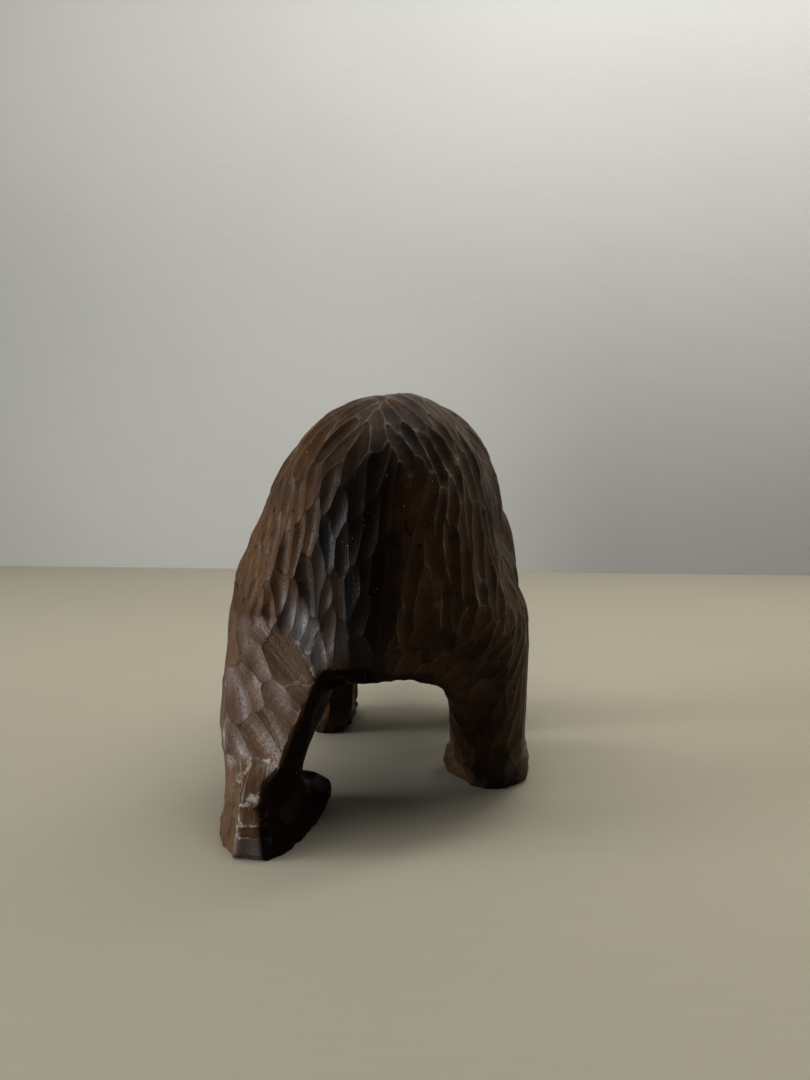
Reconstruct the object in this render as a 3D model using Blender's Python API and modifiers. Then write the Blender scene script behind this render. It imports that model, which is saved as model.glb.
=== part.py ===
"""Carved wooden bear: a walking bear cut from one block of wood and faceted with a gouge.

Blender 4.5, metres, +Z up. The bear looks along -Y and its left side is at +X. The origin lies on
the ground, under the middle of the bear's outline.

The form starts as a few round masses. Hulls stretched between them make the trunk and the legs, and
a remesh joins them into one body. The gouge then takes its cuts: each is a long shallow scoop with
its own width, length, depth and direction, and where two scoops meet they leave a ridge. The facets
of the solid are fans around the bottoms of the scoops, out to the corners where the ridges meet.
"""

import math

import bmesh
import bpy
import numpy as np
from mathutils import Matrix, Vector
from mathutils.bvhtree import BVHTree
from mathutils.kdtree import KDTree

# Driving dimensions of the form, in millimetres
MM = 0.001
RUMP_TOP = 122.0
SHOULDER_TOP = 124.0
ARCH_TOP = 42.4
LEFT_LEG_X = 31.0
RIGHT_LEG_X = -28.5
LEFT_HEEL_Y = 76.0
RIGHT_HEEL_Y = 27.0
LEFT_PAW_Y = -50.0
RIGHT_PAW_Y = -59.0
NOSE_Y = -110.0

# Grid of the body before carving, in millimetres
COARSE_GRID = 1.5
FINE_GRID = 1.22
BLENDING_PASSES = 18
CLEANING_PASSES = 5

# The gouge's cuts, in millimetres and degrees
CUT_WIDTH = 4.8
CUT_LENGTH = 15.0
RIDGE_RELIEF = 0.48
END_RELIEF = 0.50
FACET_DEPTH = 1.4
CUT_SPACING = 0.69
SPREAD = 0.22
TOE_WIDTH = 5.0
STEEPEST_FACET = 0.55
TURN = 7.0
SEED = 11

# The cuts fan out from the top of the rump and come together again between the hind legs
FAN_X = 1.0
FAN_MIDDLE = 50.0
FAN_REACH = 72.5
FAN_STRENGTH = 2.4

# A sole is the part of a foot that lies this close to the ground, in millimetres
SOLE_HEIGHT = 0.35


def ball(x, y, z, rx, ry, rz):
    """One round mass: its centre and its three radii, in millimetres."""
    return (x, y, z), (rx, ry, rz)


def trunk_masses():
    """Rump, barrel, shoulders, neck, head and ears, each a group of masses with a hull around it."""
    crown = ball(3.8, 31, RUMP_TOP - 36, 31.6, 32, 35)
    brow = ball(-3, 29, RUMP_TOP - 33, 25.2, 28, 30)
    crest = ball(-2, 29, RUMP_TOP - 22, 21, 26, 22)
    left_brow = ball(20, 31, RUMP_TOP - 32, 16.8, 20, 18)
    flank = ball(10.2, 31, 63, 39.0, 27.5, 28)
    keel_top = ball(4, 46, 84, 6, 14, 14)
    keel_low = ball(4, 51, 54, 6.5, 15.0, 14)
    rear_corner = ball(-15.0, 43, 65, 10.0, 10.5, 24)
    left_hip = ball(23.6, 35.5, 53, 26.0, 21, 26)
    right_hip = ball(-13, 32, 54, 22.0, 21, 26)
    right_side = ball(-10, 2, 60, 28.5, 26, 28)
    belly = ball(1, -3, 77, 33, 42, 39)
    withers = ball(-3, -30, SHOULDER_TOP - 44, 30.5, 30, 44)
    chest = ball(0, -40, 66, 28, 28, 32)
    neck = ball(0, -54, 85, 25, 24, 26)
    skull = ball(0, -75, 82, 21, 20, 19)
    cheeks = ball(0, -79, 73, 19.5, 16, 14)
    muzzle = ball(0, -90, 71.5, 13, 12, 12)
    nose = ball(0, NOSE_Y + 7.5, 69, 9.2, 7.5, 9.5)
    groups = [
        [crown, brow, crest, left_brow, flank, left_hip, right_hip, rear_corner, keel_top, keel_low],
        [right_hip, right_side],
        [crown, belly],
        [belly, withers, chest],
        [withers, neck],
        [neck, chest, skull, cheeks],
        [muzzle, nose],
    ]
    for side in (-1, 1):
        ear_tip = ball(side * 16, -70, 99, 6.0, 3.6, 7.0)
        ear_root = ball(side * 13, -69, 91, 6.5, 5.0, 6.5)
        groups.append([ear_tip, ear_root])
    return groups


def leg_masses():
    """The four legs in mid-stride: the left hind leg trails and the right one is under the body."""
    hind = left_hind_leg(LEFT_LEG_X, LEFT_HEEL_Y) + right_hind_leg(RIGHT_LEG_X, RIGHT_HEEL_Y)
    return hind + fore_leg(1, 32, LEFT_PAW_Y) + fore_leg(-1, -28.5, RIGHT_PAW_Y)


def left_hind_leg(x, y):
    """The trailing leg, with a sharp edge down its rear."""
    thigh = ball(26.5, 40, 49, 21.9, 18.5, 23)
    knee = ball(x + 3.0, y - 25, 31, 14.2, 13, 13)
    ankle = ball(x + 1.8, y - 14, 19, 10.6, 10, 9)
    edge_top = ball(x - 14.6, y - 14.0, 45, 3, 3, 3)
    edge_middle = ball(x - 7.5, y - 4.5, 26, 2.5, 3.0, 3)
    edge_low = ball(x - 1.6, y - 1.0, 14, 2.5, 2.8, 3)
    heel_inside = ball(x - 1.5, y + 0.2, 2, 3.0, 3.2, 10)
    heel_outside = ball(x + 4.2, y - 0.4, 3, 2.8, 3.0, 9)
    heel_corner = ball(x - 4.2, y - 3.0, 1, 3.2, 3.6, 10)
    instep = ball(x - 2.8, y - 12.0, 2, 6.8, 7.0, 13)
    toes = [ball(x - 8.2, y - 32, 5.6, 6.4, 7.5, 4.8), ball(x + 6, y - 32, 3, 7, 7, 10)]
    heel = [ball(x + 1.5, y - 5, 4, 7, 7, 9), ball(x + 6.5, y - 10, 4, 7.5, 7.5, 8.5)]
    return [
        [thigh, knee, edge_top, edge_middle],
        [knee, ankle, edge_middle, edge_low],
        [ankle, ball(x, y - 16, 13, 9, 8, 6), instep],
        [*toes, *heel, heel_inside, heel_outside, heel_corner, instep],
        [edge_low, heel_inside, heel_outside, ankle],
    ]


def broad_flats():
    """Broad flat cuts: a point, the way it faces, its box and how soft the sides of the box are."""
    inner_foot = ((28.5, 78.0, 0.0), (-0.740, 0.660, 0.100), (8, 54, -5), (34, 90, 21), 2.0)
    inner_leg = ((25.5, 72.6, 24.3), (-0.911, 0.323, -0.255), (8, 56, 22), (34, 90, 43), 2.5)
    outer_foot = ((35.6, 77.3, 3.0), (0.775, 0.615, 0.14), (30, 50, -5), (60, 90, 13), 2.0)
    calf = ((22.8, 71.0, 32.8), (0.427, 0.837, 0.343), (12, 45, 22), (50, 90, 42), 2.5)
    thigh = ((17.5, 66.0, 45.5), (0.33, 0.90, 0.28), (15, 45, 42), (38, 90, 55), 2.0)
    heel = [
        ((32.0, 77.7, 4.0), (0.06, 0.99, 0.10), (26, 66, -5), (37.5, 90, 13.5), 1.0),
        ((31.0, 76.2, 14.5), (0.12, 0.90, 0.42), (26, 60, 13.5), (37, 90, 22), 1.5),
        ((31.6, 75.5, 16.4), (-0.15, 0.86, 0.50), (28, 66, 14.4), (35, 90, 18.6), 0.5),
        ((33.0, 77.0, 11.4), (-0.05, 0.95, 0.32), (28, 66, 9.6), (37, 90, 13.4), 0.5),
        ((32.0, 77.3, 8.0), (0.35, 0.92, 0.15), (28, 66, 6.6), (37, 90, 9.6), 0.5),
        ((32.2, 77.6, 5.4), (0.04, 0.97, -0.20), (28, 66, 1.9), (37, 90, 6.6), 0.5),
        ((32.0, 77.4, 1.9), (0.08, 0.93, -0.36), (28, 66, -1.0), (38, 90, 1.9), 0.5),
    ]
    arch_lip = ((8.0, 64.0, 47.0), (0.0, 0.625, -0.780), (1, 45, 36), (17, 80, 52), 1.5)
    return [inner_foot, inner_leg, outer_foot, calf, thigh, *heel, arch_lip]


def right_hind_leg(x, y):
    """The leg under the body."""
    thigh = ball(-20.6, 23, 50, 20.0, 25, 24)
    knee = ball(x + 0.5, y - 2, 28, 12, 14, 12)
    ankle = ball(x + 0.5, y - 7, 12, 12, 12, 9)
    toes = foot((x + 6.5, y - 36), (x - 6.5, y - 35), (x - 1, y - 7.5), (x - 6, y - 12))
    return [
        [thigh, knee],
        [knee, ankle],
        toes,
        [ball(x + 9, y - 18, 4, 6.5, 6.5, 9), ball(x, y - 9, 4, 8, 8, 9)],
    ]


def fore_leg(side, x, toe_y):
    """Upper arm, lower leg and paw of one front leg."""
    elbow = ball(x, toe_y + 16, 30, 12.5, 13, 13)
    wrist = ball(x, toe_y + 19, 12, 10.5, 10.5, 9)
    shoulder = ball(side * 19.5, toe_y + 20, 64, 19.0, 26, 30)
    toes = foot((x - side * 2, toe_y), (x + side * 6, toe_y), (x, toe_y + 22), (x, toe_y + 20))
    return [[shoulder, elbow], [elbow, wrist], toes]


def foot(inner, outer, heel, lobe):
    """A foot that stands flat: two toe ends, a heel and the lobe beside it, cut off at the ground."""
    return [
        ball(inner[0], inner[1], 3, 6, 7, 10),
        ball(outer[0], outer[1], 3, 7, 7, 10),
        ball(heel[0], heel[1], 4, 7, 7, 9),
        ball(lobe[0], lobe[1], 4, 7.5, 7.5, 8.5),
    ]


def hull(groups):
    """One mesh that holds a convex hull around each group of masses."""
    whole = bmesh.new()
    for group in groups:
        part = bmesh.new()
        for centre, radii in group:
            size = Matrix.Diagonal([radius * MM for radius in radii]).to_4x4()
            place = Matrix.Translation(Vector(centre) * MM) @ size
            bmesh.ops.create_uvsphere(part, u_segments=24, v_segments=16, radius=1.0, matrix=place)
        found = bmesh.ops.convex_hull(part, input=part.verts)
        skin = {item for item in found["geom"] if isinstance(item, bmesh.types.BMFace)}
        bmesh.ops.delete(part, geom=[f for f in part.faces if f not in skin], context="FACES")
        bmesh.ops.recalc_face_normals(part, faces=part.faces)
        piece = bpy.data.meshes.new("hull")
        part.to_mesh(piece)
        part.free()
        whole.from_mesh(piece)
        bpy.data.meshes.remove(piece)
    mesh = bpy.data.meshes.new("masses")
    whole.to_mesh(mesh)
    whole.free()
    return mesh


def arch_section(inward, flare):
    """Half the outline of the space between the legs, from the ground up: (distance in, height)."""
    return [(inward, -5.0), (inward, 7.0), (-flare, 14.0), (-flare * 0.6, 23.0)]


def arch_cutter(collection):
    """The space under the belly and between the legs, as one long arch along Y."""
    left = 20.0
    right = -16.0
    left_side = [(left - inward, z) for inward, z in arch_section(3.8, 2.5)]
    right_side = [(right + inward, z) for inward, z in arch_section(5.0, 0.0)]
    roof = []
    for step in range(9):
        angle = math.pi * step / 8
        swing = math.copysign(abs(math.cos(angle)) ** 0.7, math.cos(angle))
        across = (left + right) / 2 + (left - right) / 2 * swing
        lift = ARCH_TOP - 11.0 + 11.0 * math.sin(angle) ** 0.7
        roof.append((across, lift - 0.07 * (across - right)))
    outline = left_side + roof + right_side[::-1]
    shape = bmesh.new()
    corners = [shape.verts.new((x * MM, -0.09, z * MM)) for x, z in outline]
    end = shape.faces.new(corners)
    pushed = bmesh.ops.extrude_face_region(shape, geom=[end])
    moved = [item for item in pushed["geom"] if isinstance(item, bmesh.types.BMVert)]
    bmesh.ops.translate(shape, vec=(0, 0.19, 0), verts=moved)
    bmesh.ops.recalc_face_normals(shape, faces=shape.faces)
    return cutter("arch", shape, collection)


def ground_cutter(collection):
    """Everything below the ground."""
    shape = bmesh.new()
    bmesh.ops.create_cube(shape, size=0.6, matrix=Matrix.Translation((0, 0, -0.3)))
    return cutter("ground", shape, collection)


def cutter(name, shape, collection):
    """An object that only cuts: shown as wire and left out of renders."""
    mesh = bpy.data.meshes.new(name)
    shape.to_mesh(mesh)
    shape.free()
    made = bpy.data.objects.new(name, mesh)
    made.hide_render = True
    made.display_type = "WIRE"
    collection.objects.link(made)
    return made


def voxels(target, size):
    """A remesh that joins everything that overlaps into one skin."""
    step = target.modifiers.new("voxels", "REMESH")
    step.mode = "VOXEL"
    step.voxel_size = size * MM


def smoothing(target, passes):
    """A smoothing that softens the joins."""
    step = target.modifiers.new("smoothing", "SMOOTH")
    step.factor = 0.5
    step.iterations = passes


def blocked_out(collection, cutters):
    """The bear before the gouge: points in millimetres and triangles, as arrays."""
    body = bpy.data.objects.new("block", hull(trunk_masses() + leg_masses()))
    collection.objects.link(body)
    voxels(body, COARSE_GRID)
    smoothing(body, BLENDING_PASSES)
    for tool in (arch_cutter(cutters), ground_cutter(cutters)):
        cut = body.modifiers.new(tool.name, "BOOLEAN")
        cut.operation = "DIFFERENCE"
        cut.object = tool
    voxels(body, FINE_GRID)
    smoothing(body, CLEANING_PASSES)
    skin = body.evaluated_get(bpy.context.evaluated_depsgraph_get()).to_mesh()
    skin.calc_loop_triangles()
    points = np.empty(len(skin.vertices) * 3)
    skin.vertices.foreach_get("co", points)
    triangles = np.empty(len(skin.loop_triangles) * 3, np.int64)
    skin.loop_triangles.foreach_get("vertices", triangles)
    bpy.data.objects.remove(body)
    return flattened(points.reshape(-1, 3) / MM), triangles.reshape(-1, 3)


def flattened(points):
    """Points moved back to the broad flat cuts wherever they stand out from them."""
    for place, facing, low, high, soft in broad_flats():
        facing = np.array(facing) / np.linalg.norm(facing)
        beyond = np.maximum((points - np.array(place)) @ facing, 0.0)
        points = points - facing * (beyond * box_weight(points, low, high, soft))[:, None]
    return points


def unit(vectors):
    """The same vectors with length one."""
    size = np.linalg.norm(vectors, axis=-1, keepdims=True)
    return vectors / np.maximum(size, 1e-9)


def skin_edges(triangles):
    """Each edge of the skin once, as pairs of point numbers."""
    pairs = np.concatenate([triangles[:, [0, 1]], triangles[:, [1, 2]], triangles[:, [2, 0]]])
    return np.unique(np.sort(pairs, axis=1), axis=0)


def skin_normals(points, triangles, edges):
    """Normals at the points, averaged over their neighbours."""
    a, b, c = (points[triangles[:, k]] for k in range(3))
    across = np.cross(b - a, c - a)
    normals = np.zeros_like(points)
    for k in range(3):
        np.add.at(normals, triangles[:, k], across)
    for _ in range(3):
        total = normals.copy()
        np.add.at(total, edges[:, 0], normals[edges[:, 1]])
        np.add.at(total, edges[:, 1], normals[edges[:, 0]])
        normals = unit(total)
    return normals


def blend(value, low, high):
    """0 below low, 1 above high and a smooth step between."""
    t = np.clip((value - low) / (high - low), 0.0, 1.0)
    return t * t * (3.0 - 2.0 * t)


def box_weight(points, lows, highs, soft):
    """1 inside a box, 0 outside it and a soft change at its faces."""
    weight = np.ones(len(points))
    for axis in range(3):
        weight = weight * blend(points[:, axis], lows[axis] - soft, lows[axis] + soft)
        weight = weight * (1.0 - blend(points[:, axis], highs[axis] - soft, highs[axis] + soft))
    return weight


def leg_zone(points):
    """1 on the trailing leg's outside and rear, up to the slanting line where the rump's cuts end."""
    x, _, z = points.T
    top = np.interp(x, [17.2, 25.6, 32.0], [44.9, 54.8, 58.0])
    return (1.0 - blend(z - top, -1.0, 1.0)) * box_weight(points, (14, 36, 14), (60, 90, 70), 2)


def long_zone(points):
    """1 over the back and down the right side, where the cuts run long."""
    x, _, z = points.T
    return blend(z, 58, 78) * (1.0 - 0.9 * blend(x, -3, 6) * (1.0 - blend(z, 98, 110)))


def cut_directions(points, normals):
    """The way the gouge was pushed at each point: down the body, forward on the head and the feet."""
    x, y, z = points.T
    rise = np.clip((z - FAN_MIDDLE) / FAN_REACH, -0.3, 0.93)
    fan = FAN_STRENGTH * rise / (1.0 - rise ** 2) / FAN_REACH
    sideways = (x - FAN_X) * fan + 1.5 * blend(z, 98, 114) * np.tanh((x - 4.0) / 3.0)
    way = np.stack([sideways, (y - np.clip(y, -30.0, 30.0)) * fan, -np.ones(len(points))], axis=1)
    turns = [
        (leg_zone(points), (-0.72, 0.0, -0.72)),
        (box_weight(points, (-60, 0, 36), (-6, 60, 58), 5), (0.7, 0.0, -0.7)),
        (box_weight(points, (-60, -20, -5), (-14, 60, 34), 5), (0.0, 0.0, -1.0)),
        (box_weight(points, (21, 66, -5), (36, 90, 22), 3), (0.0, 0.0, -1.0)),
        (box_weight(points, (-60, -130, 56), (60, -64, 120), 6), (0.0, -1.0, -0.45)),
        (box_weight(points, (-60, -130, -5), (60, 62, 13), 3), (0.0, -1.0, -0.5)),
        (blend(-normals[:, 2], 0.70, 0.85), (0.0, -1.0, 0.0)),
    ]
    for weight, turn in turns:
        way = way * (1.0 - weight[:, None]) + np.array(turn) * weight[:, None]
    flat = way - normals * (way * normals).sum(axis=1, keepdims=True)
    weak = np.linalg.norm(flat, axis=1) < 0.05
    flat[weak] = np.cross(normals[weak], (1.0, 0.0, 0.0))
    return unit(flat)


def cut_sizes(points, normals):
    """Width and length of a cut at each point, in millimetres."""
    size = np.ones((len(points), 2))
    changes = [
        (blend(np.abs(normals[:, 0]), 0.45, 0.80), 0.78, 1.12),
        (blend(normals[:, 2], 0.45, 0.75), 0.82, 1.05),
        (1.0 - blend(points[:, 1], -34, -6), 1.26, 1.25),
        (long_zone(points), 0.92, 1.85),
        (leg_zone(points), 1.35, 1.08),
        (box_weight(points, (-60, -130, 60), (60, -64, 120), 5), 0.85, 0.85),
        (1.0 - blend(points[:, 2], 7, 15), 0.92, 0.80),
        (box_weight(points, (22, 67, -5), (37, 90, 21), 2), 1.00, 0.42),
        (box_weight(points, (-18, -80, 20), (22, 60, 48), 5), 1.35, 1.25),
        (box_weight(points, (-25, -80, 88), (-8, -60, 120), 2), 0.60, 0.55),
        (box_weight(points, (8, -80, 88), (25, -60, 120), 2), 0.60, 0.55),
    ]
    for weight, wide, long in changes:
        size = size * (1.0 - weight[:, None]) + np.array((wide, long)) * weight[:, None]
    return size * (CUT_WIDTH, CUT_LENGTH)


def detail_cuts():
    """Single cuts for the face, ears, left leg, heel and toes: (place, way, width, length, depth)."""
    details = []
    forward = (0.0, -1.0, -0.2)
    for side in (-1, 1):
        details.append(((side * 11.0, -91.5, 82.0), forward, 2.6, 3.2, 1.3))
        details.append(((side * 3.2, NOSE_Y, 72.0), (0.0, -1.0, -1.0), 1.8, 2.0, 1.0))
        details.append(((side * 9.5, NOSE_Y + 11.0, 65.0), (0.0, -1.0, 0.1), 1.7, 11.0, 1.2))
        details.append(((side * 17.0, -74.5, 99.0), (0.0, 0.0, -1.0), 4.2, 6.0, 1.4))
    details.append(((26.2, 61.5, 49.4), (-0.62, 0.28, -0.60), 8.6, 21.0, 0.75))
    details.append(((26.7, 66.7, 38.4), (-0.77, 0.49, -0.41), 5.6, 18.0, 0.75))
    details.append(((28.2, 68.5, 32.2), (-0.59, 0.49, -0.64), 4.8, 15.0, 0.75))
    details.append(((32.5, 67.7, 28.8), (-0.70, 0.54, -0.45), 6.6, 17.0, 0.80))
    details.append(((30.2, 74.6, 22.0), (0.05, 0.30, -0.95), 9.0, 10.0, 0.80))
    heel = [(31.6, 75.5, 16.4, 5.6, 5.4), (33.0, 77.0, 11.4, 8.0, 5.0), (32.5, 77.3, 8.0, 8.0, 4.0)]
    heel += [(32.2, 77.6, 4.2, 7.4, 6.0), (32.4, 76.8, 0.9, 10.0, 2.6)]
    for x, y, z, wide, tall in heel:
        details.append(((x, y, z), (0.0, 0.0, -1.0), wide, tall, 0.35))
    fronts = [
        (LEFT_LEG_X - 0.8, LEFT_HEEL_Y - 39.5),
        (RIGHT_LEG_X, RIGHT_HEEL_Y - 43.0),
        (34.0, LEFT_PAW_Y - 6.5),
        (-30.5, RIGHT_PAW_Y - 6.5),
    ]
    for x, y in fronts:
        for step in (-1, 0, 1):
            details.append(((x + step * TOE_WIDTH, y, 6.5), (0.0, -0.6, -0.8), 1.7, 9.0, 1.6))
    return details


def near_table(points):
    """A search tree over the points."""
    tree = KDTree(len(points))
    for number, point in enumerate(points):
        tree.insert(point, number)
    tree.balance()
    return tree


def near(tree, centre, reach):
    """Numbers of the points within reach of a centre."""
    return np.array([hit[1] for hit in tree.find_range(centre, reach)], dtype=np.int64)


class Cuts:
    """All cuts of the gouge: where each has its deepest point, which way it runs and how big it is."""

    def __init__(self, places, normals, ways, widths, lengths, depths):
        self.places = places
        self.normals = normals
        self.ways = ways
        self.sides = np.cross(ways, normals)
        self.widths = widths
        self.lengths = lengths
        self.depths = depths

    def heights(self, numbers, points):
        """Height of each point's scoop above the uncarved skin, for one cut number a point."""
        offset = points - self.places[numbers]
        across = (offset * self.sides[numbers]).sum(axis=1) / self.widths[numbers]
        along = (offset * self.ways[numbers]).sum(axis=1) / self.lengths[numbers]
        above = (offset * self.normals[numbers]).sum(axis=1) / self.widths[numbers]
        along = np.where(along < 0.0, along * 1.35, along * 0.80)
        rise = RIDGE_RELIEF * 4.0 * across ** 2 + END_RELIEF * 4.0 * along ** 2
        return rise + 0.25 * above ** 2 - self.depths[numbers]


def cover(free, tree, points, normals, number, way, width, length):
    """Marks the points round a cut as taken."""
    side = np.cross(way, normals[number])
    around = near(tree, points[number], max(length, width))
    offset = points[around] - points[number]
    across = offset @ side / width
    along = offset @ way / length
    above = offset @ normals[number] / width
    taken = across ** 2 + along ** 2 + above ** 2 * 0.5 < CUT_SPACING ** 2
    taken &= normals[around] @ normals[number] > 0.0
    free[around[taken]] = False


def chosen_cuts(points, normals, tree):
    """The details, and then cuts scattered so that they lie side by side, as a carver places them."""
    chance = np.random.RandomState(SEED)
    ways = cut_directions(points, normals)
    common = cut_sizes(points, normals)
    free = (normals[:, 2] > -0.8) | (points[:, 2] > SOLE_HEIGHT)
    picked = []
    turned = []
    sizes = []
    for place, way, width, length, depth in detail_cuts():
        number = tree.find(place)[1]
        way = np.array(way)
        way = unit(way - normals[number] * (way @ normals[number]))
        cover(free, tree, points, normals, number, way, width * 1.3, length * 0.8)
        picked.append(number)
        turned.append(way)
        sizes.append((width, length, depth))
    for number in chance.permutation(len(points)):
        if not free[number]:
            continue
        angle = math.radians(chance.normal(0.0, TURN))
        side = np.cross(ways[number], normals[number])
        way = ways[number] * math.cos(angle) + side * math.sin(angle)
        width, length = common[number]
        cover(free, tree, points, normals, number, way, width, length)
        wide, long, deep = chance.uniform(-SPREAD, SPREAD, 3)
        picked.append(number)
        turned.append(way)
        depth = RIDGE_RELIEF * min(width / CUT_WIDTH, 1.15) * (0.9 + 1.6 * deep)
        sizes.append((width * (1.0 + 0.6 * wide), length * (1.0 + long), depth))
    widths, lengths, depths = np.array(sizes).T
    return Cuts(points[picked], normals[picked], np.array(turned), widths, lengths, depths)


def deepest_cut(points, normals, cuts, tree):
    """For each point, the number of the cut that goes deepest there."""
    best = np.full(len(points), 50.0)
    owner = np.full(len(points), -1)
    for number in range(len(cuts.places)):
        reach = max(cuts.lengths[number], cuts.widths[number]) * 1.3
        around = near(tree, cuts.places[number], reach)
        around = around[normals[around] @ cuts.normals[number] > 0.55]
        height = cuts.heights(np.full(len(around), number), points[around])
        wins = height < best[around]
        best[around[wins]] = height[wins]
        owner[around[wins]] = number
    return owner


def neighbour_lists(count, edges):
    """For each point, the points that an edge joins it to."""
    lists = [[] for _ in range(count)]
    for a, b in edges.tolist():
        lists[a].append(b)
        lists[b].append(a)
    return lists


def islands(owner, neighbours):
    """Connected patches of points that have the same owner, largest first."""
    seen = np.zeros(len(owner), bool)
    patches = []
    for start in range(len(owner)):
        if seen[start] or owner[start] == -1:
            continue
        seen[start] = True
        patch = [start]
        for point in patch:
            for other in neighbours[point]:
                if not seen[other] and owner[other] == owner[start]:
                    seen[other] = True
                    patch.append(other)
        patches.append(patch)
    return sorted(patches, key=len, reverse=True)


def refill(owner, neighbours):
    """Gives each point without an owner the owner that most of its neighbours have."""
    open_points = [int(p) for p in np.flatnonzero(owner == -1)]
    while open_points:
        settled = []
        for point in open_points:
            around = [int(owner[other]) for other in neighbours[point] if owner[other] != -1]
            if around:
                settled.append((point, max(sorted(set(around)), key=around.count)))
        for point, name in settled:
            owner[point] = name
        done = {point for point, _ in settled}
        open_points = [p for p in open_points if p not in done]
    return owner


def corner_triangles(owner, triangles):
    """Numbers of the triangles whose three points have three owners."""
    a, b, c = (owner[triangles[:, k]] for k in range(3))
    return np.flatnonzero((a != b) & (b != c) & (c != a))


def tidied(owner, triangles, neighbours):
    """Owners after scraps, islands and patches with fewer than three corners have gone."""
    for _ in range(12):
        kept = set()
        for patch in islands(owner, neighbours):
            name = int(owner[patch[0]])
            if name in kept or len(patch) < 8:
                owner[patch] = -1
            kept.add(name)
        owner = refill(owner, neighbours)
        corners = owner[triangles[corner_triangles(owner, triangles)]].ravel()
        names, counts = np.unique(corners, return_counts=True)
        few = set(np.unique(owner).tolist()) - set(names[counts > 2].tolist())
        if not few and len(islands(owner, neighbours)) == len(np.unique(owner)):
            break
        owner[np.isin(owner, list(few))] = -1
        owner = refill(owner, neighbours)
    return owner


def add_soles(owner, points, normals, neighbours, cut_count):
    """The flat undersides of the feet get an owner each, numbered after the cuts."""
    low = (points[:, 2] < SOLE_HEIGHT) & (normals[:, 2] < -0.75)
    marked = np.where(low, 0, -1)
    soles = [patch for patch in islands(marked, neighbours) if len(patch) > 60]
    for number, patch in enumerate(soles):
        owner[patch] = cut_count + number
    return len(soles)


def ridge_chains(owner, triangles):
    """The ridges between two corners: (corner, corner, cut on the left, cut on the right, triangles)."""
    corners = corner_triangles(owner, triangles)
    corner_at = {int(t): number for number, t in enumerate(corners)}
    beside = {}
    for number, (a, b, c) in enumerate(triangles.tolist()):
        beside[a, b] = number
        beside[b, c] = number
        beside[c, a] = number
    chains = []
    for start in corners.tolist():
        ring = triangles[start].tolist()
        for k in range(3):
            right, left = ring[k], ring[(k + 1) % 3]
            inner, outer = int(owner[left]), int(owner[right])
            here = beside[left, right]
            path = []
            while here not in corner_at:
                path.append(here)
                third = [p for p in triangles[here].tolist() if p not in (left, right)][0]
                if owner[third] == inner:
                    left = third
                else:
                    right = third
                here = beside[left, right]
            if corner_at[start] < corner_at[here]:
                chains.append((corner_at[start], corner_at[here], inner, outer, path))
    return corners, chains


def facet_points(points, normals, owner, cuts, triangles, numbers, sole_from):
    """Where the ridges run through the given triangles, lifted to the height of the scoops there."""
    spots = []
    for number in numbers:
        ring = triangles[number]
        middle = points[ring].mean(axis=0)
        normal = unit(normals[ring].mean(axis=0))
        names = [name for name in owner[ring].tolist() if name < sole_from]
        height = 0.0
        if names:
            height = cuts.heights(np.array(names), np.repeat(middle[None], len(names), axis=0)).mean()
        spot = middle + normal * min(height, 0.25)
        if len(names) < 3 and (owner[ring] >= sole_from).any():
            spot[2] = 0.0
        spots.append(spot)
    return spots


def trough(cut, patch, cuts, points, normals, heights):
    """The bottom line of a scoop, as one or two spots."""
    local = points[patch] - cuts.places[cut]
    along = local @ cuts.ways[cut]
    across = local @ cuts.sides[cut]
    length = np.ptp(along)
    shares = (0.28, 0.72) if length > 1.7 * np.ptp(across) else (0.5,)
    spots = []
    for share in shares:
        level = along.min() + share * length
        band = np.abs(along - level) < max(0.16 * length, 1.0)
        middle = (across[band].min() + across[band].max()) / 2 if band.any() else 0.0
        nearest = patch[np.argmin((along - level) ** 2 + (across - middle) ** 2)]
        spot = points[nearest] + normals[nearest] * heights[nearest] * FACET_DEPTH
        spot[2] = max(spot[2], 0.4)
        spots.append(spot)
    return np.array(spots)


def loops_round_patches(chains):
    """For each cut or sole, its corners in order round its patch."""
    after = {}
    for start, end, left, right, _ in chains:
        after.setdefault(left, {})[start] = end
        after.setdefault(right, {})[end] = start
    loops = {}
    for name, steps in after.items():
        ring = [min(steps)]
        while steps[ring[-1]] != ring[0]:
            ring.append(steps[ring[-1]])
        loops[name] = ring
    return loops


def scoop_facets(rims, bottom):
    """Facets between the rim spots and one or two bottom spots, as numbers into rims, then bottom."""
    count = len(rims)
    if len(bottom) == 1:
        return [(k, (k + 1) % count, count) for k in range(count)]
    share = (rims - (bottom[0] + bottom[1]) / 2) @ unit(bottom[1] - bottom[0])
    top = int(np.argmax(share))
    low = int(np.argmin(share))
    down_side = [(top + k) % count for k in range(1, (low - top) % count + 1)]
    up_side = [(low + k) % count for k in range(1, (top - low) % count + 1)]
    first_waist = min(down_side, key=lambda k: abs(share[k]))
    second_waist = min(up_side, key=lambda k: abs(share[k]))
    upper = {(second_waist + k) % count for k in range((first_waist - second_waist) % count)}
    facets = []
    for k in range(count):
        now = count + 1 if k in upper else count
        before = count + 1 if (k - 1) % count in upper else count
        if now != before:
            facets.append((k, now, before))
        facets.append((k, (k + 1) % count, now))
    return facets


def lies_well(spots, facets, normal):
    """True when every facet still faces roughly the way the skin does there."""
    a, b, c = (spots[[facet[k] for facet in facets]] for k in range(3))
    return float((unit(np.cross(b - a, c - a)) @ normal).min()) > STEEPEST_FACET


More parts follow.
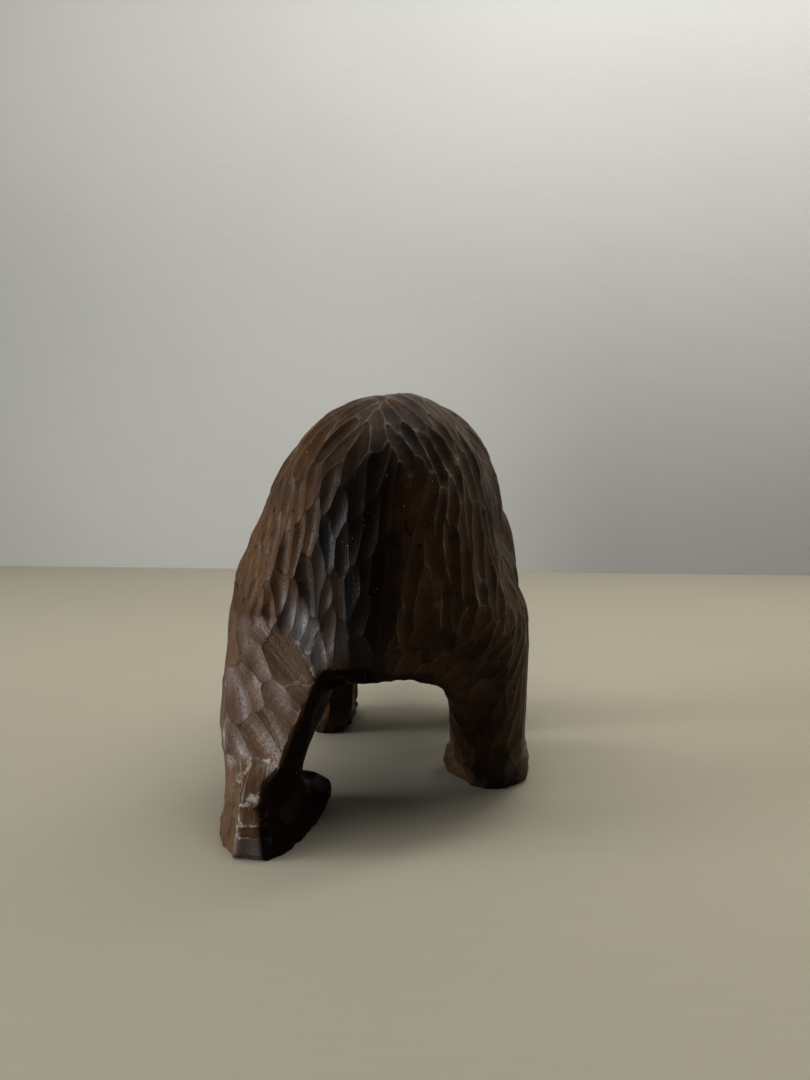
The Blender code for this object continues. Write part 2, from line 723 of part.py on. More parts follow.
def scoop(rims, bottom, normal, plain):
    """Bottom spots and facets of one scoop. One too steep for its bottom line is made plainer."""
    middle = rims.mean(axis=0)
    choices = [bottom, bottom.mean(axis=0)[None], (middle - 0.2 * normal)[None], middle[None]]
    for spots in choices[2:] if plain else choices:
        facets = scoop_facets(rims, spots)
        if lies_well(np.concatenate([rims, spots]), facets, normal):
            break
    return spots, facets


def crossing(spots, facets):
    """Numbers of the facets that cut through a facet they share no corner with."""
    tree = BVHTree.FromPolygons(spots.tolist(), facets)
    hits = set()
    for a, b in tree.overlap(tree):
        if not set(facets[a]) & set(facets[b]):
            hits |= {a, b}
    return hits


def joined_scoops(rim_spots, plans):
    """All scoops as one skin. Scoops whose facets would cross others are made plainer."""
    plain = set()
    for _ in range(4):
        spots = [rim_spots]
        count = len(rim_spots)
        facets = []
        names = []
        for name, (ring, bottom, normal) in plans.items():
            bottoms, made = scoop(rim_spots[ring], bottom, normal, name in plain)
            numbers = list(ring) + list(range(count, count + len(bottoms)))
            facets += [tuple(numbers[k] for k in facet) for facet in made]
            names += [name] * len(made)
            spots.append(bottoms)
            count += len(bottoms)
        whole = np.concatenate(spots)
        hits = crossing(whole, facets)
        if not hits:
            break
        plain |= {names[k] for k in hits}
    return whole, facets


def facetted(points, triangles):
    """The carved solid: fans around the bottoms of the scoops, out to the corners of the ridges."""
    edges = skin_edges(triangles)
    normals = skin_normals(points, triangles, edges)
    neighbours = neighbour_lists(len(points), edges)
    tree = near_table(points)
    cuts = chosen_cuts(points, normals, tree)
    owner = refill(deepest_cut(points, normals, cuts, tree), neighbours)
    sole_from = len(cuts.places)
    add_soles(owner, points, normals, neighbours, sole_from)
    owner = tidied(owner, triangles, neighbours)
    carved = owner < sole_from
    heights = np.zeros(len(points))
    heights[carved] = np.clip(cuts.heights(owner[carved], points[carved]), -2.0, 0.25)
    corners, chains = ridge_chains(owner, triangles)
    rim_spots = np.array(facet_points(points, normals, owner, cuts, triangles, corners, sole_from))
    order = np.argsort(owner, kind="stable")
    starts = np.searchsorted(owner[order], np.arange(owner.max() + 2))
    plans = {}
    soles = []
    for name, ring in sorted(loops_round_patches(chains).items()):
        if name >= sole_from:
            soles.append(ring)
            continue
        patch = order[starts[name]:starts[name + 1]]
        bottom = trough(name, patch, cuts, points, normals, heights)
        plans[name] = (ring, bottom, unit(normals[patch].mean(axis=0)))
    spots, facets = joined_scoops(rim_spots, plans)
    solid = bmesh.new()
    verts = [solid.verts.new(spot * MM) for spot in spots]
    for facet in facets + soles:
        solid.faces.new([verts[number] for number in facet])
    bmesh.ops.triangulate(solid, faces=[face for face in solid.faces if len(face.verts) > 3])
    return solid


def wood_material():
    """Dark stained walnut with a soft shine."""
    made = bpy.data.materials.new("dark_walnut")
    made.use_nodes = True
    shader = made.node_tree.nodes["Principled BSDF"]
    shader.inputs["Base Color"].default_value = (0.062, 0.036, 0.022, 1.0)
    shader.inputs["Roughness"].default_value = 0.38
    shader.inputs["Metallic"].default_value = 0.0
    return made


def stand_on_origin(solid):
    """Moves the solid so that the origin is on the ground under the middle of its outline."""
    spots = np.array([vert.co for vert in solid.verts])
    low = spots.min(axis=0)
    high = spots.max(axis=0)
    shift = Vector((-(low[0] + high[0]) / 2, -(low[1] + high[1]) / 2, -low[2]))
    bmesh.ops.translate(solid, vec=shift, verts=solid.verts)


def main():
    """Clears the scene and builds the bear."""
    for thing in list(bpy.data.objects):
        bpy.data.objects.remove(thing)
    shown = bpy.data.collections.new("carved_bear")
    hidden = bpy.data.collections.new("cutters")
    bpy.context.scene.collection.children.link(shown)
    bpy.context.scene.collection.children.link(hidden)
    points, triangles = blocked_out(shown, hidden)
    solid = facetted(points, triangles)
    stand_on_origin(solid)
    mesh = bpy.data.meshes.new("bear")
    solid.to_mesh(mesh)
    solid.free()
    mesh.materials.append(wood_material())
    bear = bpy.data.objects.new("bear", mesh)
    shown.objects.link(bear)


main()
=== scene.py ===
"""Looks of a carved wooden bear: one block of dark stained walnut under a gouge, on a pale floor.

The frame's solid has flat-sided facets. This script blocks out the same bear, takes the same cuts on a
fine grid, so that each becomes a round hollow with a crisp ridge round it, and gives the wood its stain,
pores, gloss and wear, with painted light and shade in its colour. Carving is done in millimetres, and
the meshes are in metres. The bear looks along -Y and its left side is at +X.
"""

import math

import bmesh
import bpy
import numpy as np
from bpy.props import FloatProperty, FloatVectorProperty, IntProperty, PointerProperty
from mathutils import Matrix, Vector
from mathutils.kdtree import KDTree


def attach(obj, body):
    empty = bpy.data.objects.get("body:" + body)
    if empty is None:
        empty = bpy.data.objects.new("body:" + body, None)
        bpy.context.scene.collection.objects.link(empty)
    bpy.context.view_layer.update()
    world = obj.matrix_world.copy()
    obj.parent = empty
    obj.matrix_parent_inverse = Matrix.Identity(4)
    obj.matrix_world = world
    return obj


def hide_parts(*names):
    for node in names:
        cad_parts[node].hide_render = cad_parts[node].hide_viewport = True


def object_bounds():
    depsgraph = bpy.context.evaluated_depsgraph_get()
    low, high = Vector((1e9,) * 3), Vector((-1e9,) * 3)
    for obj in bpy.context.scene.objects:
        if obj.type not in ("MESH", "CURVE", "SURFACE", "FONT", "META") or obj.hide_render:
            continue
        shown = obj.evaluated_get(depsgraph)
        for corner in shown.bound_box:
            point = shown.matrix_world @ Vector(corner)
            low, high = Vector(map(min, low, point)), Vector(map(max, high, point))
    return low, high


bl_info = {
    "name": "Carved Wooden Bear",
    "version": (1, 0, 0),
    "blender": (4, 5, 0),
    "location": "3D View > Sidebar > Carving",
    "description": "Carves a walking bear from a block of dark walnut, one gouge cut at a time",
    "category": "Add Mesh",
}

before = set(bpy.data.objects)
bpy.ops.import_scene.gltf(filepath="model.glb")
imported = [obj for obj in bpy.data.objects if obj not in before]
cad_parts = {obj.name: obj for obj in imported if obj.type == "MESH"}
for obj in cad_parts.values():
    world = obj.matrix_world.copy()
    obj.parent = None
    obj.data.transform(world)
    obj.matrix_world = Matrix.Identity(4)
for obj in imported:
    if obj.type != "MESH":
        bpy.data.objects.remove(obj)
CAD_LOW, CAD_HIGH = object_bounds()

# A millimetre in metres. The carving's own lengths are in millimetres.
MM = 0.001

# The mesh of one round mass, the steps in the arch's roof, where the arch begins and how long it is,
# and the side of the cube that stands for the ground.
BALL_SIDES = 24
BALL_RINGS = 16
ROOF_STEPS = 8
ARCH_START = -90.0
ARCH_LENGTH = 190.0
GROUND_SIZE = 600.0

# Skin this low that faces down is a sole. A sole and a cut's patch each have at least so many points.
SOLE_HEIGHT = 0.35
SMALLEST_SOLE = 60
SMALLEST_PATCH = 8

# How far past its size a cut still reaches, the height of skin that no cut has reached, the widest gap
# beside a ridge, and how far apart two cuts lie in the pattern of the tool lines.
CUT_REACH = 1.3
UNCARVED = 50.0
WIDEST_GAP = 2.0
STROKE_STEP = 7.3

# How far skin may turn away from a cut and still be carved by it, as a cosine.
SAME_SIDE = 0.55

# A cut starts steeper than it ends, and rises faster where the skin curves away from it.
STEEP_START = 1.35
GENTLE_END = 0.80
CURVED_AWAY = 0.25

# A ridge crosses an edge no nearer than this to its ends, as a share of its length.
END_MARGIN = 0.12

# Relief of the cuts against that of the frame's solid, and the heights between which it is kept.
RELIEF = 1.45
DEEPEST = -2.0
HIGHEST = 0.3

# How often normals are averaged, patches are tidied and the carved skin is evened out.
NORMAL_PASSES = 3
TIDY_PASSES = 12
SETTLING_PASSES = 2

# Order in which the cuts get their tones of stain.
TONE_SEED = 5

# Gloss of the whole finish where nothing changes it.
COMMON_GLAZE = 0.09


def length(name, description, default):
    """A length property, in metres."""
    return FloatProperty(name=name, description=description, default=default, unit="LENGTH", precision=5)


def share(name, description, default):
    """A property from 0 to 1."""
    return FloatProperty(
        name=name, description=description, default=default, min=0.0, max=1.0, subtype="FACTOR"
    )


def whole(name, description, default):
    """A whole number property from 0."""
    return IntProperty(name=name, description=description, default=default, min=0)


def slant(name, description, degrees):
    """An angle property, given in degrees."""
    return FloatProperty(name=name, description=description, default=math.radians(degrees), subtype="ANGLE")


def power(name, description, default):
    """The power of a light."""
    return FloatProperty(name=name, description=description, default=default, unit="POWER")


def colour(name, description, default):
    """A colour property, in linear light."""
    return FloatVectorProperty(
        name=name, description=description, default=default, size=3, min=0.0, max=1.0, subtype="COLOR"
    )


class BlockSettings(bpy.types.PropertyGroup):
    """Sizes of the bear before the gouge."""

    rump_top: length("Rump Top", "Height of the rump", 0.122)
    shoulder_top: length("Shoulder Top", "Height of the shoulders", 0.124)
    arch_top: length("Arch Top", "Height of the space under the belly", 0.0424)
    left_leg_x: length("Left Leg", "Where the left hind leg stands across the bear", 0.031)
    right_leg_x: length("Right Leg", "Where the right hind leg stands across the bear", -0.0285)
    left_heel_y: length("Left Heel", "Where the left heel stands along the bear", 0.076)
    right_heel_y: length("Right Heel", "Where the right heel stands along the bear", 0.027)
    left_paw_y: length("Left Paw", "Where the left front toes are along the bear", -0.050)
    right_paw_y: length("Right Paw", "Where the right front toes are along the bear", -0.059)
    nose_y: length("Nose", "Where the nose is along the bear", -0.110)
    coarse_grid: length("Coarse Grid", "Grid on which the masses are blended", 0.0015)
    fine_grid: length("Fine Grid", "Grid on which the cuts are taken", 0.00122)
    blending_passes: whole("Blending", "Smoothing passes over the masses", 18)
    cleaning_passes: whole("Cleaning", "Smoothing passes over the fine grid", 5)


class GougeSettings(bpy.types.PropertyGroup):
    """Sizes and habits of the gouge's cuts."""

    cut_width: length("Cut Width", "Width of a common cut", 0.0048)
    cut_length: length("Cut Length", "Length of a common cut", 0.015)
    toe_width: length("Toe Width", "Distance between two toes", 0.005)
    ridge_relief: length("Ridge Relief", "How far the ridges beside a cut rise above its bottom", 0.00048)
    end_relief: length("End Relief", "How far the ends of a cut rise above its bottom", 0.0005)
    fan_x: length("Fan Middle X", "Where the cuts fan out from, across the bear", 0.001)
    fan_z: length("Fan Middle Z", "Height at which the fanned cuts run straight down", 0.050)
    fan_reach: length("Fan Reach", "Height from there to the point that the cuts fan out from", 0.0725)
    fan_strength: FloatProperty(name="Fan", description="How strongly the cuts fan out", default=2.4, min=0.0)
    spacing: share("Spacing", "How close two cuts lie, as a share of their size", 0.69)
    spread: share("Spread", "How much the cuts' sizes differ", 0.22)
    turn: slant("Turn", "How far cuts stray from their direction", 7.0)
    seed: whole("Seed", "Order in which the cuts are taken", 11)


class WoodSettings(bpy.types.PropertyGroup):
    """Colours and gloss of the stained walnut, with the colours of its painted light and shade."""

    stain: colour("Stain", "Deep stain in the hollows", (0.018, 0.0095, 0.0050))
    brown: colour("Brown", "Where the stain lets the wood through", (0.120, 0.062, 0.030))
    # Painted shade: nearly black, down the middle of the rump and under the belly.
    black: colour("Black", "Nearly black stain", (0.0080, 0.0066, 0.0048))
    # Painted shade with a bluish painted reflection, beside the middle of the rump.
    bluish_shade: colour("Ink", "Dark bluish stain beside the middle of the rump", (0.0170, 0.0145, 0.0140))
    # A lilac painted sheen on the glossy finish above the trailing leg.
    lilac_sheen: colour("Slate", "Thick finish with a lilac shine", (0.200, 0.175, 0.180))
    iron: colour("Iron", "Grey finish of the heel's small cuts", (0.170, 0.160, 0.168))
    # Painted light: lighter, warmer brown on the left flank, which faces the window.
    window_lit_brown: colour("Honey", "The lighter, warmer stain of the left flank", (0.165, 0.089, 0.045))
    # Painted shade: dark red inside the feet and on the trailing leg's inner side.
    russet_shade: colour("Russet", "Dark red stain inside the feet", (0.0095, 0.0042, 0.0022))
    # Painted shade in the creases where a cut ends.
    crease_shade: colour("Crease", "Dirt where a cut ends", (0.010, 0.0065, 0.0040))
    # Pale ridges: stain rubbed thin, and partly a painted highlight.
    ridge: colour("Ridge", "Stain rubbed thin on the ridges", (0.260, 0.215, 0.165))
    rubbed: colour("Rubbed", "Wood rubbed by handling", (0.158, 0.087, 0.047))
    chalky: colour("Chalky", "Finish worn off down to the pale wood", (0.480, 0.430, 0.370))
    dust: colour("Dust", "Flecks of dust", (0.420, 0.400, 0.360))
    roughness: share("Roughness", "Roughness of the finish where it is whole", 0.35)
    bump: length("Bump", "Height of the pores and tool lines", 0.00012)


class StageSettings(bpy.types.PropertyGroup):
    """The floor, the backdrop, the light and the camera."""

    floor: colour("Floor", "Painted shelf", (0.455, 0.420, 0.335))
    wall: colour("Wall", "Painted wall", (0.700, 0.700, 0.675))
    wall_y: length("Wall", "Where the wall is along the bear", -0.50)
    window_power: power("Window", "Power of the window light", 2.3)
    rim_power: power("Rim", "Power of the light from the right", 0.5)
    top_power: power("Ceiling", "Power of the light from above", 4.0)
    sky_power: FloatProperty(name="Sky", description="Strength of the even light from above", default=0.35)
    wall_power: power("Backdrop", "Power of the light on the wall", 3.0)
    ambient: share("Ambient", "Strength of the light from all round", 0.02)
    haze: colour("Haze", "What shows where there is no wall", (0.420, 0.415, 0.385))
    camera_place: FloatVectorProperty(
        name="Camera",
        description="Where the camera stands",
        default=(-0.02963, 0.28720, 0.0995),
        unit="LENGTH",
    )
    camera_turn: slant("Turn", "How far the camera looks to its left of straight ahead", 5.5)
    camera_tilt: slant("Tilt", "How far the camera looks down", 5.0)
    camera_lens: FloatProperty(name="Lens", description="Focal length in millimetres", default=27.03, min=1.0)


def mm(value):
    """A length property in millimetres, without the rounding error of its 32 bits."""
    return round(value * 1000.0, 4)


# The block: round masses with hulls round them

def ball(x, y, z, rx, ry, rz):
    """One round mass: its centre and its three radii."""
    return (x, y, z), (rx, ry, rz)


def trunk_masses(block):
    """Rump, barrel, shoulders, neck, head and ears, each a group of masses with a hull around it."""
    rump = mm(block.rump_top)
    shoulder = mm(block.shoulder_top)
    crown = ball(3.8, 31, rump - 36, 31.6, 32, 35)
    brow = ball(-3, 29, rump - 33, 25.2, 28, 30)
    crest = ball(-2, 29, rump - 22, 21, 26, 22)
    left_brow = ball(20, 31, rump - 32, 16.8, 20, 18)
    flank = ball(10.2, 31, 63, 39.0, 27.5, 28)
    keel_top = ball(4, 46, 84, 6, 14, 14)
    keel_low = ball(4, 51, 54, 6.5, 15.0, 14)
    rear_corner = ball(-15.0, 43, 65, 10.0, 10.5, 24)
    left_hip = ball(23.6, 35.5, 53, 26.0, 21, 26)
    right_hip = ball(-13, 32, 54, 22.0, 21, 26)
    right_side = ball(-10, 2, 60, 28.5, 26, 28)
    belly = ball(1, -3, 77, 33, 42, 39)
    withers = ball(-3, -30, shoulder - 44, 30.5, 30, 44)
    chest = ball(0, -40, 66, 28, 28, 32)
    neck = ball(0, -54, 85, 25, 24, 26)
    skull = ball(0, -75, 82, 21, 20, 19)
    cheeks = ball(0, -79, 73, 19.5, 16, 14)
    muzzle = ball(0, -90, 71.5, 13, 12, 12)
    nose = ball(0, mm(block.nose_y) + 7.5, 69, 9.2, 7.5, 9.5)
    groups = [
        [crown, brow, crest, left_brow, flank, left_hip, right_hip, rear_corner, keel_top, keel_low],
        [right_hip, right_side],
        [crown, belly],
        [belly, withers, chest],
        [withers, neck],
        [neck, chest, skull, cheeks],
        [muzzle, nose],
    ]
    for side in (-1, 1):
        ear_tip = ball(side * 16, -70, 99, 6.0, 3.6, 7.0)
        ear_root = ball(side * 13, -69, 91, 6.5, 5.0, 6.5)
        groups.append([ear_tip, ear_root])
    return groups


def left_hind_leg(x, y):
    """The trailing leg, with a sharp edge down its rear."""
    knee = ball(x + 3.0, y - 25, 31, 14.2, 13, 13)
    ankle = ball(x + 1.8, y - 14, 19, 10.6, 10, 9)
    edge_top = ball(x - 14.6, y - 14.0, 45, 3, 3, 3)
    edge_middle = ball(x - 7.5, y - 4.5, 26, 2.5, 3.0, 3)
    edge_low = ball(x - 1.6, y - 1.0, 14, 2.5, 2.8, 3)
    heel_inside = ball(x - 1.5, y + 0.2, 2, 3.0, 3.2, 10)
    heel_outside = ball(x + 4.2, y - 0.4, 3, 2.8, 3.0, 9)
    heel_corner = ball(x - 4.2, y - 3.0, 1, 3.2, 3.6, 10)
    instep = ball(x - 2.8, y - 12.0, 2, 6.8, 7.0, 13)
    toes = [ball(x - 8.2, y - 32, 5.6, 6.4, 7.5, 4.8), ball(x + 6, y - 32, 3, 7, 7, 10)]
    heel = [ball(x + 1.5, y - 5, 4, 7, 7, 9), ball(x + 6.5, y - 10, 4, 7.5, 7.5, 8.5)]
    return [
        [ball(26.5, 40, 49, 21.9, 18.5, 23), knee, edge_top, edge_middle],
        [knee, ankle, edge_middle, edge_low],
        [ankle, ball(x, y - 16, 13, 9, 8, 6), instep],
        [*toes, *heel, heel_inside, heel_outside, heel_corner, instep],
        [edge_low, heel_inside, heel_outside, ankle],
    ]


def broad_flats():
    """Broad flat cuts: a point, the way it faces, the box it lies in and how soft the box's sides are."""
    inner_foot = ((28.5, 78.0, 0.0), (-0.740, 0.660, 0.100), (8, 54, -5), (34, 90, 21), 2.0)
    inner_leg = ((25.5, 72.6, 24.3), (-0.911, 0.323, -0.255), (8, 56, 22), (34, 90, 43), 2.5)
    outer_foot = ((35.6, 77.3, 3.0), (0.775, 0.615, 0.14), (30, 50, -5), (60, 90, 13), 2.0)
    calf = ((22.8, 71.0, 32.8), (0.427, 0.837, 0.343), (12, 45, 22), (50, 90, 42), 2.5)
    thigh = ((17.5, 66.0, 45.5), (0.33, 0.90, 0.28), (15, 45, 42), (38, 90, 55), 2.0)
    heel = [
        ((32.0, 77.7, 4.0), (0.06, 0.99, 0.10), (26, 66, -5), (37.5, 90, 13.5), 1.0),
        ((31.0, 76.2, 14.5), (0.12, 0.90, 0.42), (26, 60, 13.5), (37, 90, 22), 1.5),
        ((31.6, 75.5, 16.4), (-0.15, 0.86, 0.50), (28, 66, 14.4), (35, 90, 18.6), 0.5),
        ((33.0, 77.0, 11.4), (-0.05, 0.95, 0.32), (28, 66, 9.6), (37, 90, 13.4), 0.5),
        ((32.0, 77.3, 8.0), (0.35, 0.92, 0.15), (28, 66, 6.6), (37, 90, 9.6), 0.5),
        ((32.2, 77.6, 5.4), (0.04, 0.97, -0.20), (28, 66, 1.9), (37, 90, 6.6), 0.5),
        ((32.0, 77.4, 1.9), (0.08, 0.93, -0.36), (28, 66, -1.0), (38, 90, 1.9), 0.5),
    ]
    arch_lip = ((8.0, 64.0, 47.0), (0.0, 0.625, -0.780), (1, 45, 36), (17, 80, 52), 1.5)
    return [inner_foot, inner_leg, outer_foot, calf, thigh, *heel, arch_lip]


def right_hind_leg(x, y):
    """The leg under the body."""
    knee = ball(x + 0.5, y - 2, 28, 12, 14, 12)
    ankle = ball(x + 0.5, y - 7, 12, 12, 12, 9)
    return [
        [ball(-20.6, 23, 50, 20.0, 25, 24), knee],
        [knee, ankle],
        foot(inner=(x + 6.5, y - 36), outer=(x - 6.5, y - 35), heel=(x - 1, y - 7.5), lobe=(x - 6, y - 12)),
        [ball(x + 9, y - 18, 4, 6.5, 6.5, 9), ball(x, y - 9, 4, 8, 8, 9)],
    ]


def fore_leg(side, x, toe_y):
    """Upper arm, lower leg and paw of one front leg."""
    elbow = ball(x, toe_y + 16, 30, 12.5, 13, 13)
    wrist = ball(x, toe_y + 19, 12, 10.5, 10.5, 9)
    shoulder = ball(side * 19.5, toe_y + 20, 64, 19.0, 26, 30)
    toes = {"inner": (x - side * 2, toe_y), "outer": (x + side * 6, toe_y)}
    paw = foot(**toes, heel=(x, toe_y + 22), lobe=(x, toe_y + 20))
    return [[shoulder, elbow], [elbow, wrist], paw]


def foot(inner, outer, heel, lobe):
    """A foot that stands flat: two toe ends, a heel and the lobe beside it, cut off at the ground."""
    return [
        ball(inner[0], inner[1], 3, 6, 7, 10),
        ball(outer[0], outer[1], 3, 7, 7, 10),
        ball(heel[0], heel[1], 4, 7, 7, 9),
        ball(lobe[0], lobe[1], 4, 7.5, 7.5, 8.5),
    ]


def all_masses(block):
    """Trunk and legs."""
    groups = trunk_masses(block)
    groups += left_hind_leg(mm(block.left_leg_x), mm(block.left_heel_y))
    groups += right_hind_leg(mm(block.right_leg_x), mm(block.right_heel_y))
    groups += fore_leg(1, 32, mm(block.left_paw_y))
    return groups + fore_leg(-1, -28.5, mm(block.right_paw_y))


def hull(groups):
    """One mesh that holds a convex hull around each group of masses."""
    whole = bmesh.new()
    for group in groups:
        part = bmesh.new()
        for centre, radii in group:
            size = Matrix.Diagonal([radius * MM for radius in radii]).to_4x4()
            place = Matrix.Translation(Vector(centre) * MM) @ size
            bmesh.ops.create_uvsphere(
                part, u_segments=BALL_SIDES, v_segments=BALL_RINGS, radius=1.0, matrix=place
            )
        found = bmesh.ops.convex_hull(part, input=part.verts)
        skin = {item for item in found["geom"] if isinstance(item, bmesh.types.BMFace)}
        bmesh.ops.delete(part, geom=[f for f in part.faces if f not in skin], context="FACES")
        bmesh.ops.recalc_face_normals(part, faces=part.faces)
        piece = bpy.data.meshes.new("hull")
        part.to_mesh(piece)
        part.free()
        whole.from_mesh(piece)
        bpy.data.meshes.remove(piece)
    mesh = bpy.data.meshes.new("masses")
    whole.to_mesh(mesh)
    whole.free()
    return mesh


def arch_outline(arch_top):
    """Outline of the space between the legs, seen from behind: (across, height) up, over and down."""
    left = 20.0
    right = -16.0
    rise = 11.0
    squareness = 0.7
    lean = 0.07
    left_side = [(left - inward, z) for inward, z in arch_wall(3.8, 2.5)]
    right_side = [(right + inward, z) for inward, z in arch_wall(5.0, 0.0)]
    roof = []
    for step in range(ROOF_STEPS + 1):
        angle = math.pi * step / ROOF_STEPS
        swing = math.copysign(abs(math.cos(angle)) ** squareness, math.cos(angle))
        across = (left + right) / 2 + (left - right) / 2 * swing
        lift = arch_top - rise + rise * math.sin(angle) ** squareness
        roof.append((across, lift - lean * (across - right)))
    return left_side + roof + right_side[::-1]


def arch_wall(inward, flare):
    """One wall of that space from the ground up: (distance in, height)."""
    return [(inward, -5.0), (inward, 7.0), (-flare, 14.0), (-flare * 0.6, 23.0)]


def arch_cutter(arch_top):
    """The space under the belly and between the legs, as one long arch along Y."""
    shape = bmesh.new()
    corners = [shape.verts.new((x * MM, ARCH_START * MM, z * MM)) for x, z in arch_outline(arch_top)]
    end = shape.faces.new(corners)
    pushed = bmesh.ops.extrude_face_region(shape, geom=[end])
    moved = [item for item in pushed["geom"] if isinstance(item, bmesh.types.BMVert)]
    bmesh.ops.translate(shape, vec=(0, ARCH_LENGTH * MM, 0), verts=moved)
    bmesh.ops.recalc_face_normals(shape, faces=shape.faces)
    return helper("arch", shape)


def ground_cutter():
    """Everything below the ground."""
    shape = bmesh.new()
    middle = Matrix.Translation((0, 0, -GROUND_SIZE / 2 * MM))
    bmesh.ops.create_cube(shape, size=GROUND_SIZE * MM, matrix=middle)
    return helper("ground", shape)


def helper(name, shape):
    """An object that only helps to shape another."""
    mesh = bpy.data.meshes.new(name)
    shape.to_mesh(mesh)
    shape.free()
    made = bpy.data.objects.new(name, mesh)
    bpy.context.scene.collection.objects.link(made)
    return made


def voxels(target, size):
    """A remesh that joins everything that overlaps into one skin."""
    step = target.modifiers.new("voxels", "REMESH")
    step.mode = "VOXEL"
    step.voxel_size = size * MM


def smoothing(target, passes):
    """A smoothing that softens the joins."""
    step = target.modifiers.new("smoothing", "SMOOTH")
    step.factor = 0.5
    step.iterations = passes


def blocked_out(block):
    """The bear before the gouge: points in millimetres and triangles, as arrays."""
    body = bpy.data.objects.new("block", hull(all_masses(block)))
    bpy.context.scene.collection.objects.link(body)
    voxels(body, mm(block.coarse_grid))
    smoothing(body, block.blending_passes)
    cutters = (arch_cutter(mm(block.arch_top)), ground_cutter())
    for tool in cutters:
        cut = body.modifiers.new(tool.name, "BOOLEAN")
        cut.operation = "DIFFERENCE"
        cut.object = tool
    voxels(body, mm(block.fine_grid))
    smoothing(body, block.cleaning_passes)
    skin = body.evaluated_get(bpy.context.evaluated_depsgraph_get()).to_mesh()
    skin.calc_loop_triangles()
    points = np.empty(len(skin.vertices) * 3)
    skin.vertices.foreach_get("co", points)
    triangles = np.empty(len(skin.loop_triangles) * 3, np.int64)
    skin.loop_triangles.foreach_get("vertices", triangles)
    for helping in (body, *cutters):
        bpy.data.objects.remove(helping)
    return flattened(points.reshape(-1, 3) / MM), triangles.reshape(-1, 3)


def flattened(points):
    """Points moved back to the broad flat cuts wherever they stand out from them."""
    for place, facing, low, high, soft in broad_flats():
        facing = np.array(facing) / np.linalg.norm(facing)
        beyond = np.maximum((points - np.array(place)) @ facing, 0.0)
        points = points - facing * (beyond * box_weight(points, low, high, soft))[:, None]
    return points


# The skin: edges, normals and soft weights

def unit(vectors):
    """The same vectors with length one."""
    size = np.linalg.norm(vectors, axis=-1, keepdims=True)
    return vectors / np.maximum(size, 1e-9)


def skin_edges(triangles):
    """Each edge of the skin once, as pairs of point numbers."""
    pairs = np.concatenate([triangles[:, [0, 1]], triangles[:, [1, 2]], triangles[:, [2, 0]]])
    return np.unique(np.sort(pairs, axis=1), axis=0)


def skin_normals(points, triangles, edges):
    """Normals at the points, averaged over their neighbours."""
    a, b, c = (points[triangles[:, k]] for k in range(3))
    across = np.cross(b - a, c - a)
    normals = np.zeros_like(points)
    for k in range(3):
        np.add.at(normals, triangles[:, k], across)
    for _ in range(NORMAL_PASSES):
        total = normals.copy()
        np.add.at(total, edges[:, 0], normals[edges[:, 1]])
        np.add.at(total, edges[:, 1], normals[edges[:, 0]])
        normals = unit(total)
    return normals


def blend(value, low, high):
    """0 below low, 1 above high and a smooth step between."""
    t = np.clip((value - low) / (high - low), 0.0, 1.0)
    return t * t * (3.0 - 2.0 * t)


def box_weight(points, lows, highs, soft):
    """1 inside a box, 0 outside it and a soft change at its faces."""
    weight = np.ones(len(points))
    for axis in range(3):
        weight = weight * blend(points[:, axis], lows[axis] - soft, lows[axis] + soft)
        weight = weight * (1.0 - blend(points[:, axis], highs[axis] - soft, highs[axis] + soft))
    return weight


# The gouge: where its cuts lie, which way they run and how deep they go

def above_leg(points):
    """Height above the slanting line where the rump's flutes end on the trailing leg."""
    return points[:, 2] - np.interp(points[:, 0], [17.2, 25.6, 32.0], [44.9, 54.8, 58.0])


def leg_zone(points):
    """1 on the trailing leg's outside and rear, up to the line where the rump's flutes end on it."""
    return (1.0 - blend(above_leg(points), -1.0, 1.0)) * box_weight(points, (14, 36, 14), (60, 90, 70), 2)


def long_zone(points):
    """1 over the back and down the right side, where the flutes run long."""
    x, _, z = points.T
    return blend(z, 58, 78) * (1.0 - 0.9 * blend(x, -3, 6) * (1.0 - blend(z, 98, 110)))


def cut_directions(points, normals, gouge):
    """The way the gouge was pushed at each point: down the body, forward on the head and the feet."""
    x, y, z = points.T
    reach = mm(gouge.fan_reach)
    rise = np.clip((z - mm(gouge.fan_z)) / reach, -0.3, 0.93)
    fan = gouge.fan_strength * rise / (1.0 - rise ** 2) / reach
    sideways = (x - mm(gouge.fan_x)) * fan + 1.5 * blend(z, 98, 114) * np.tanh((x - 4.0) / 3.0)
    way = np.stack([sideways, (y - np.clip(y, -30.0, 30.0)) * fan, -np.ones(len(points))], axis=1)
    turns = [
        (leg_zone(points), (-0.72, 0.0, -0.72)),
        (box_weight(points, (-60, 0, 36), (-6, 60, 58), 5), (0.7, 0.0, -0.7)),
        (box_weight(points, (-60, -20, -5), (-14, 60, 34), 5), (0.0, 0.0, -1.0)),
        (box_weight(points, (21, 66, -5), (36, 90, 22), 3), (0.0, 0.0, -1.0)),
        (box_weight(points, (-60, -130, 56), (60, -64, 120), 6), (0.0, -1.0, -0.45)),
        (box_weight(points, (-60, -130, -5), (60, 62, 13), 3), (0.0, -1.0, -0.5)),
        (blend(-normals[:, 2], 0.70, 0.85), (0.0, -1.0, 0.0)),
    ]
    for weight, turn in turns:
        way = way * (1.0 - weight[:, None]) + np.array(turn) * weight[:, None]
    flat = way - normals * (way * normals).sum(axis=1, keepdims=True)
    weak = np.linalg.norm(flat, axis=1) < 0.05
    flat[weak] = np.cross(normals[weak], (1.0, 0.0, 0.0))
    return unit(flat)


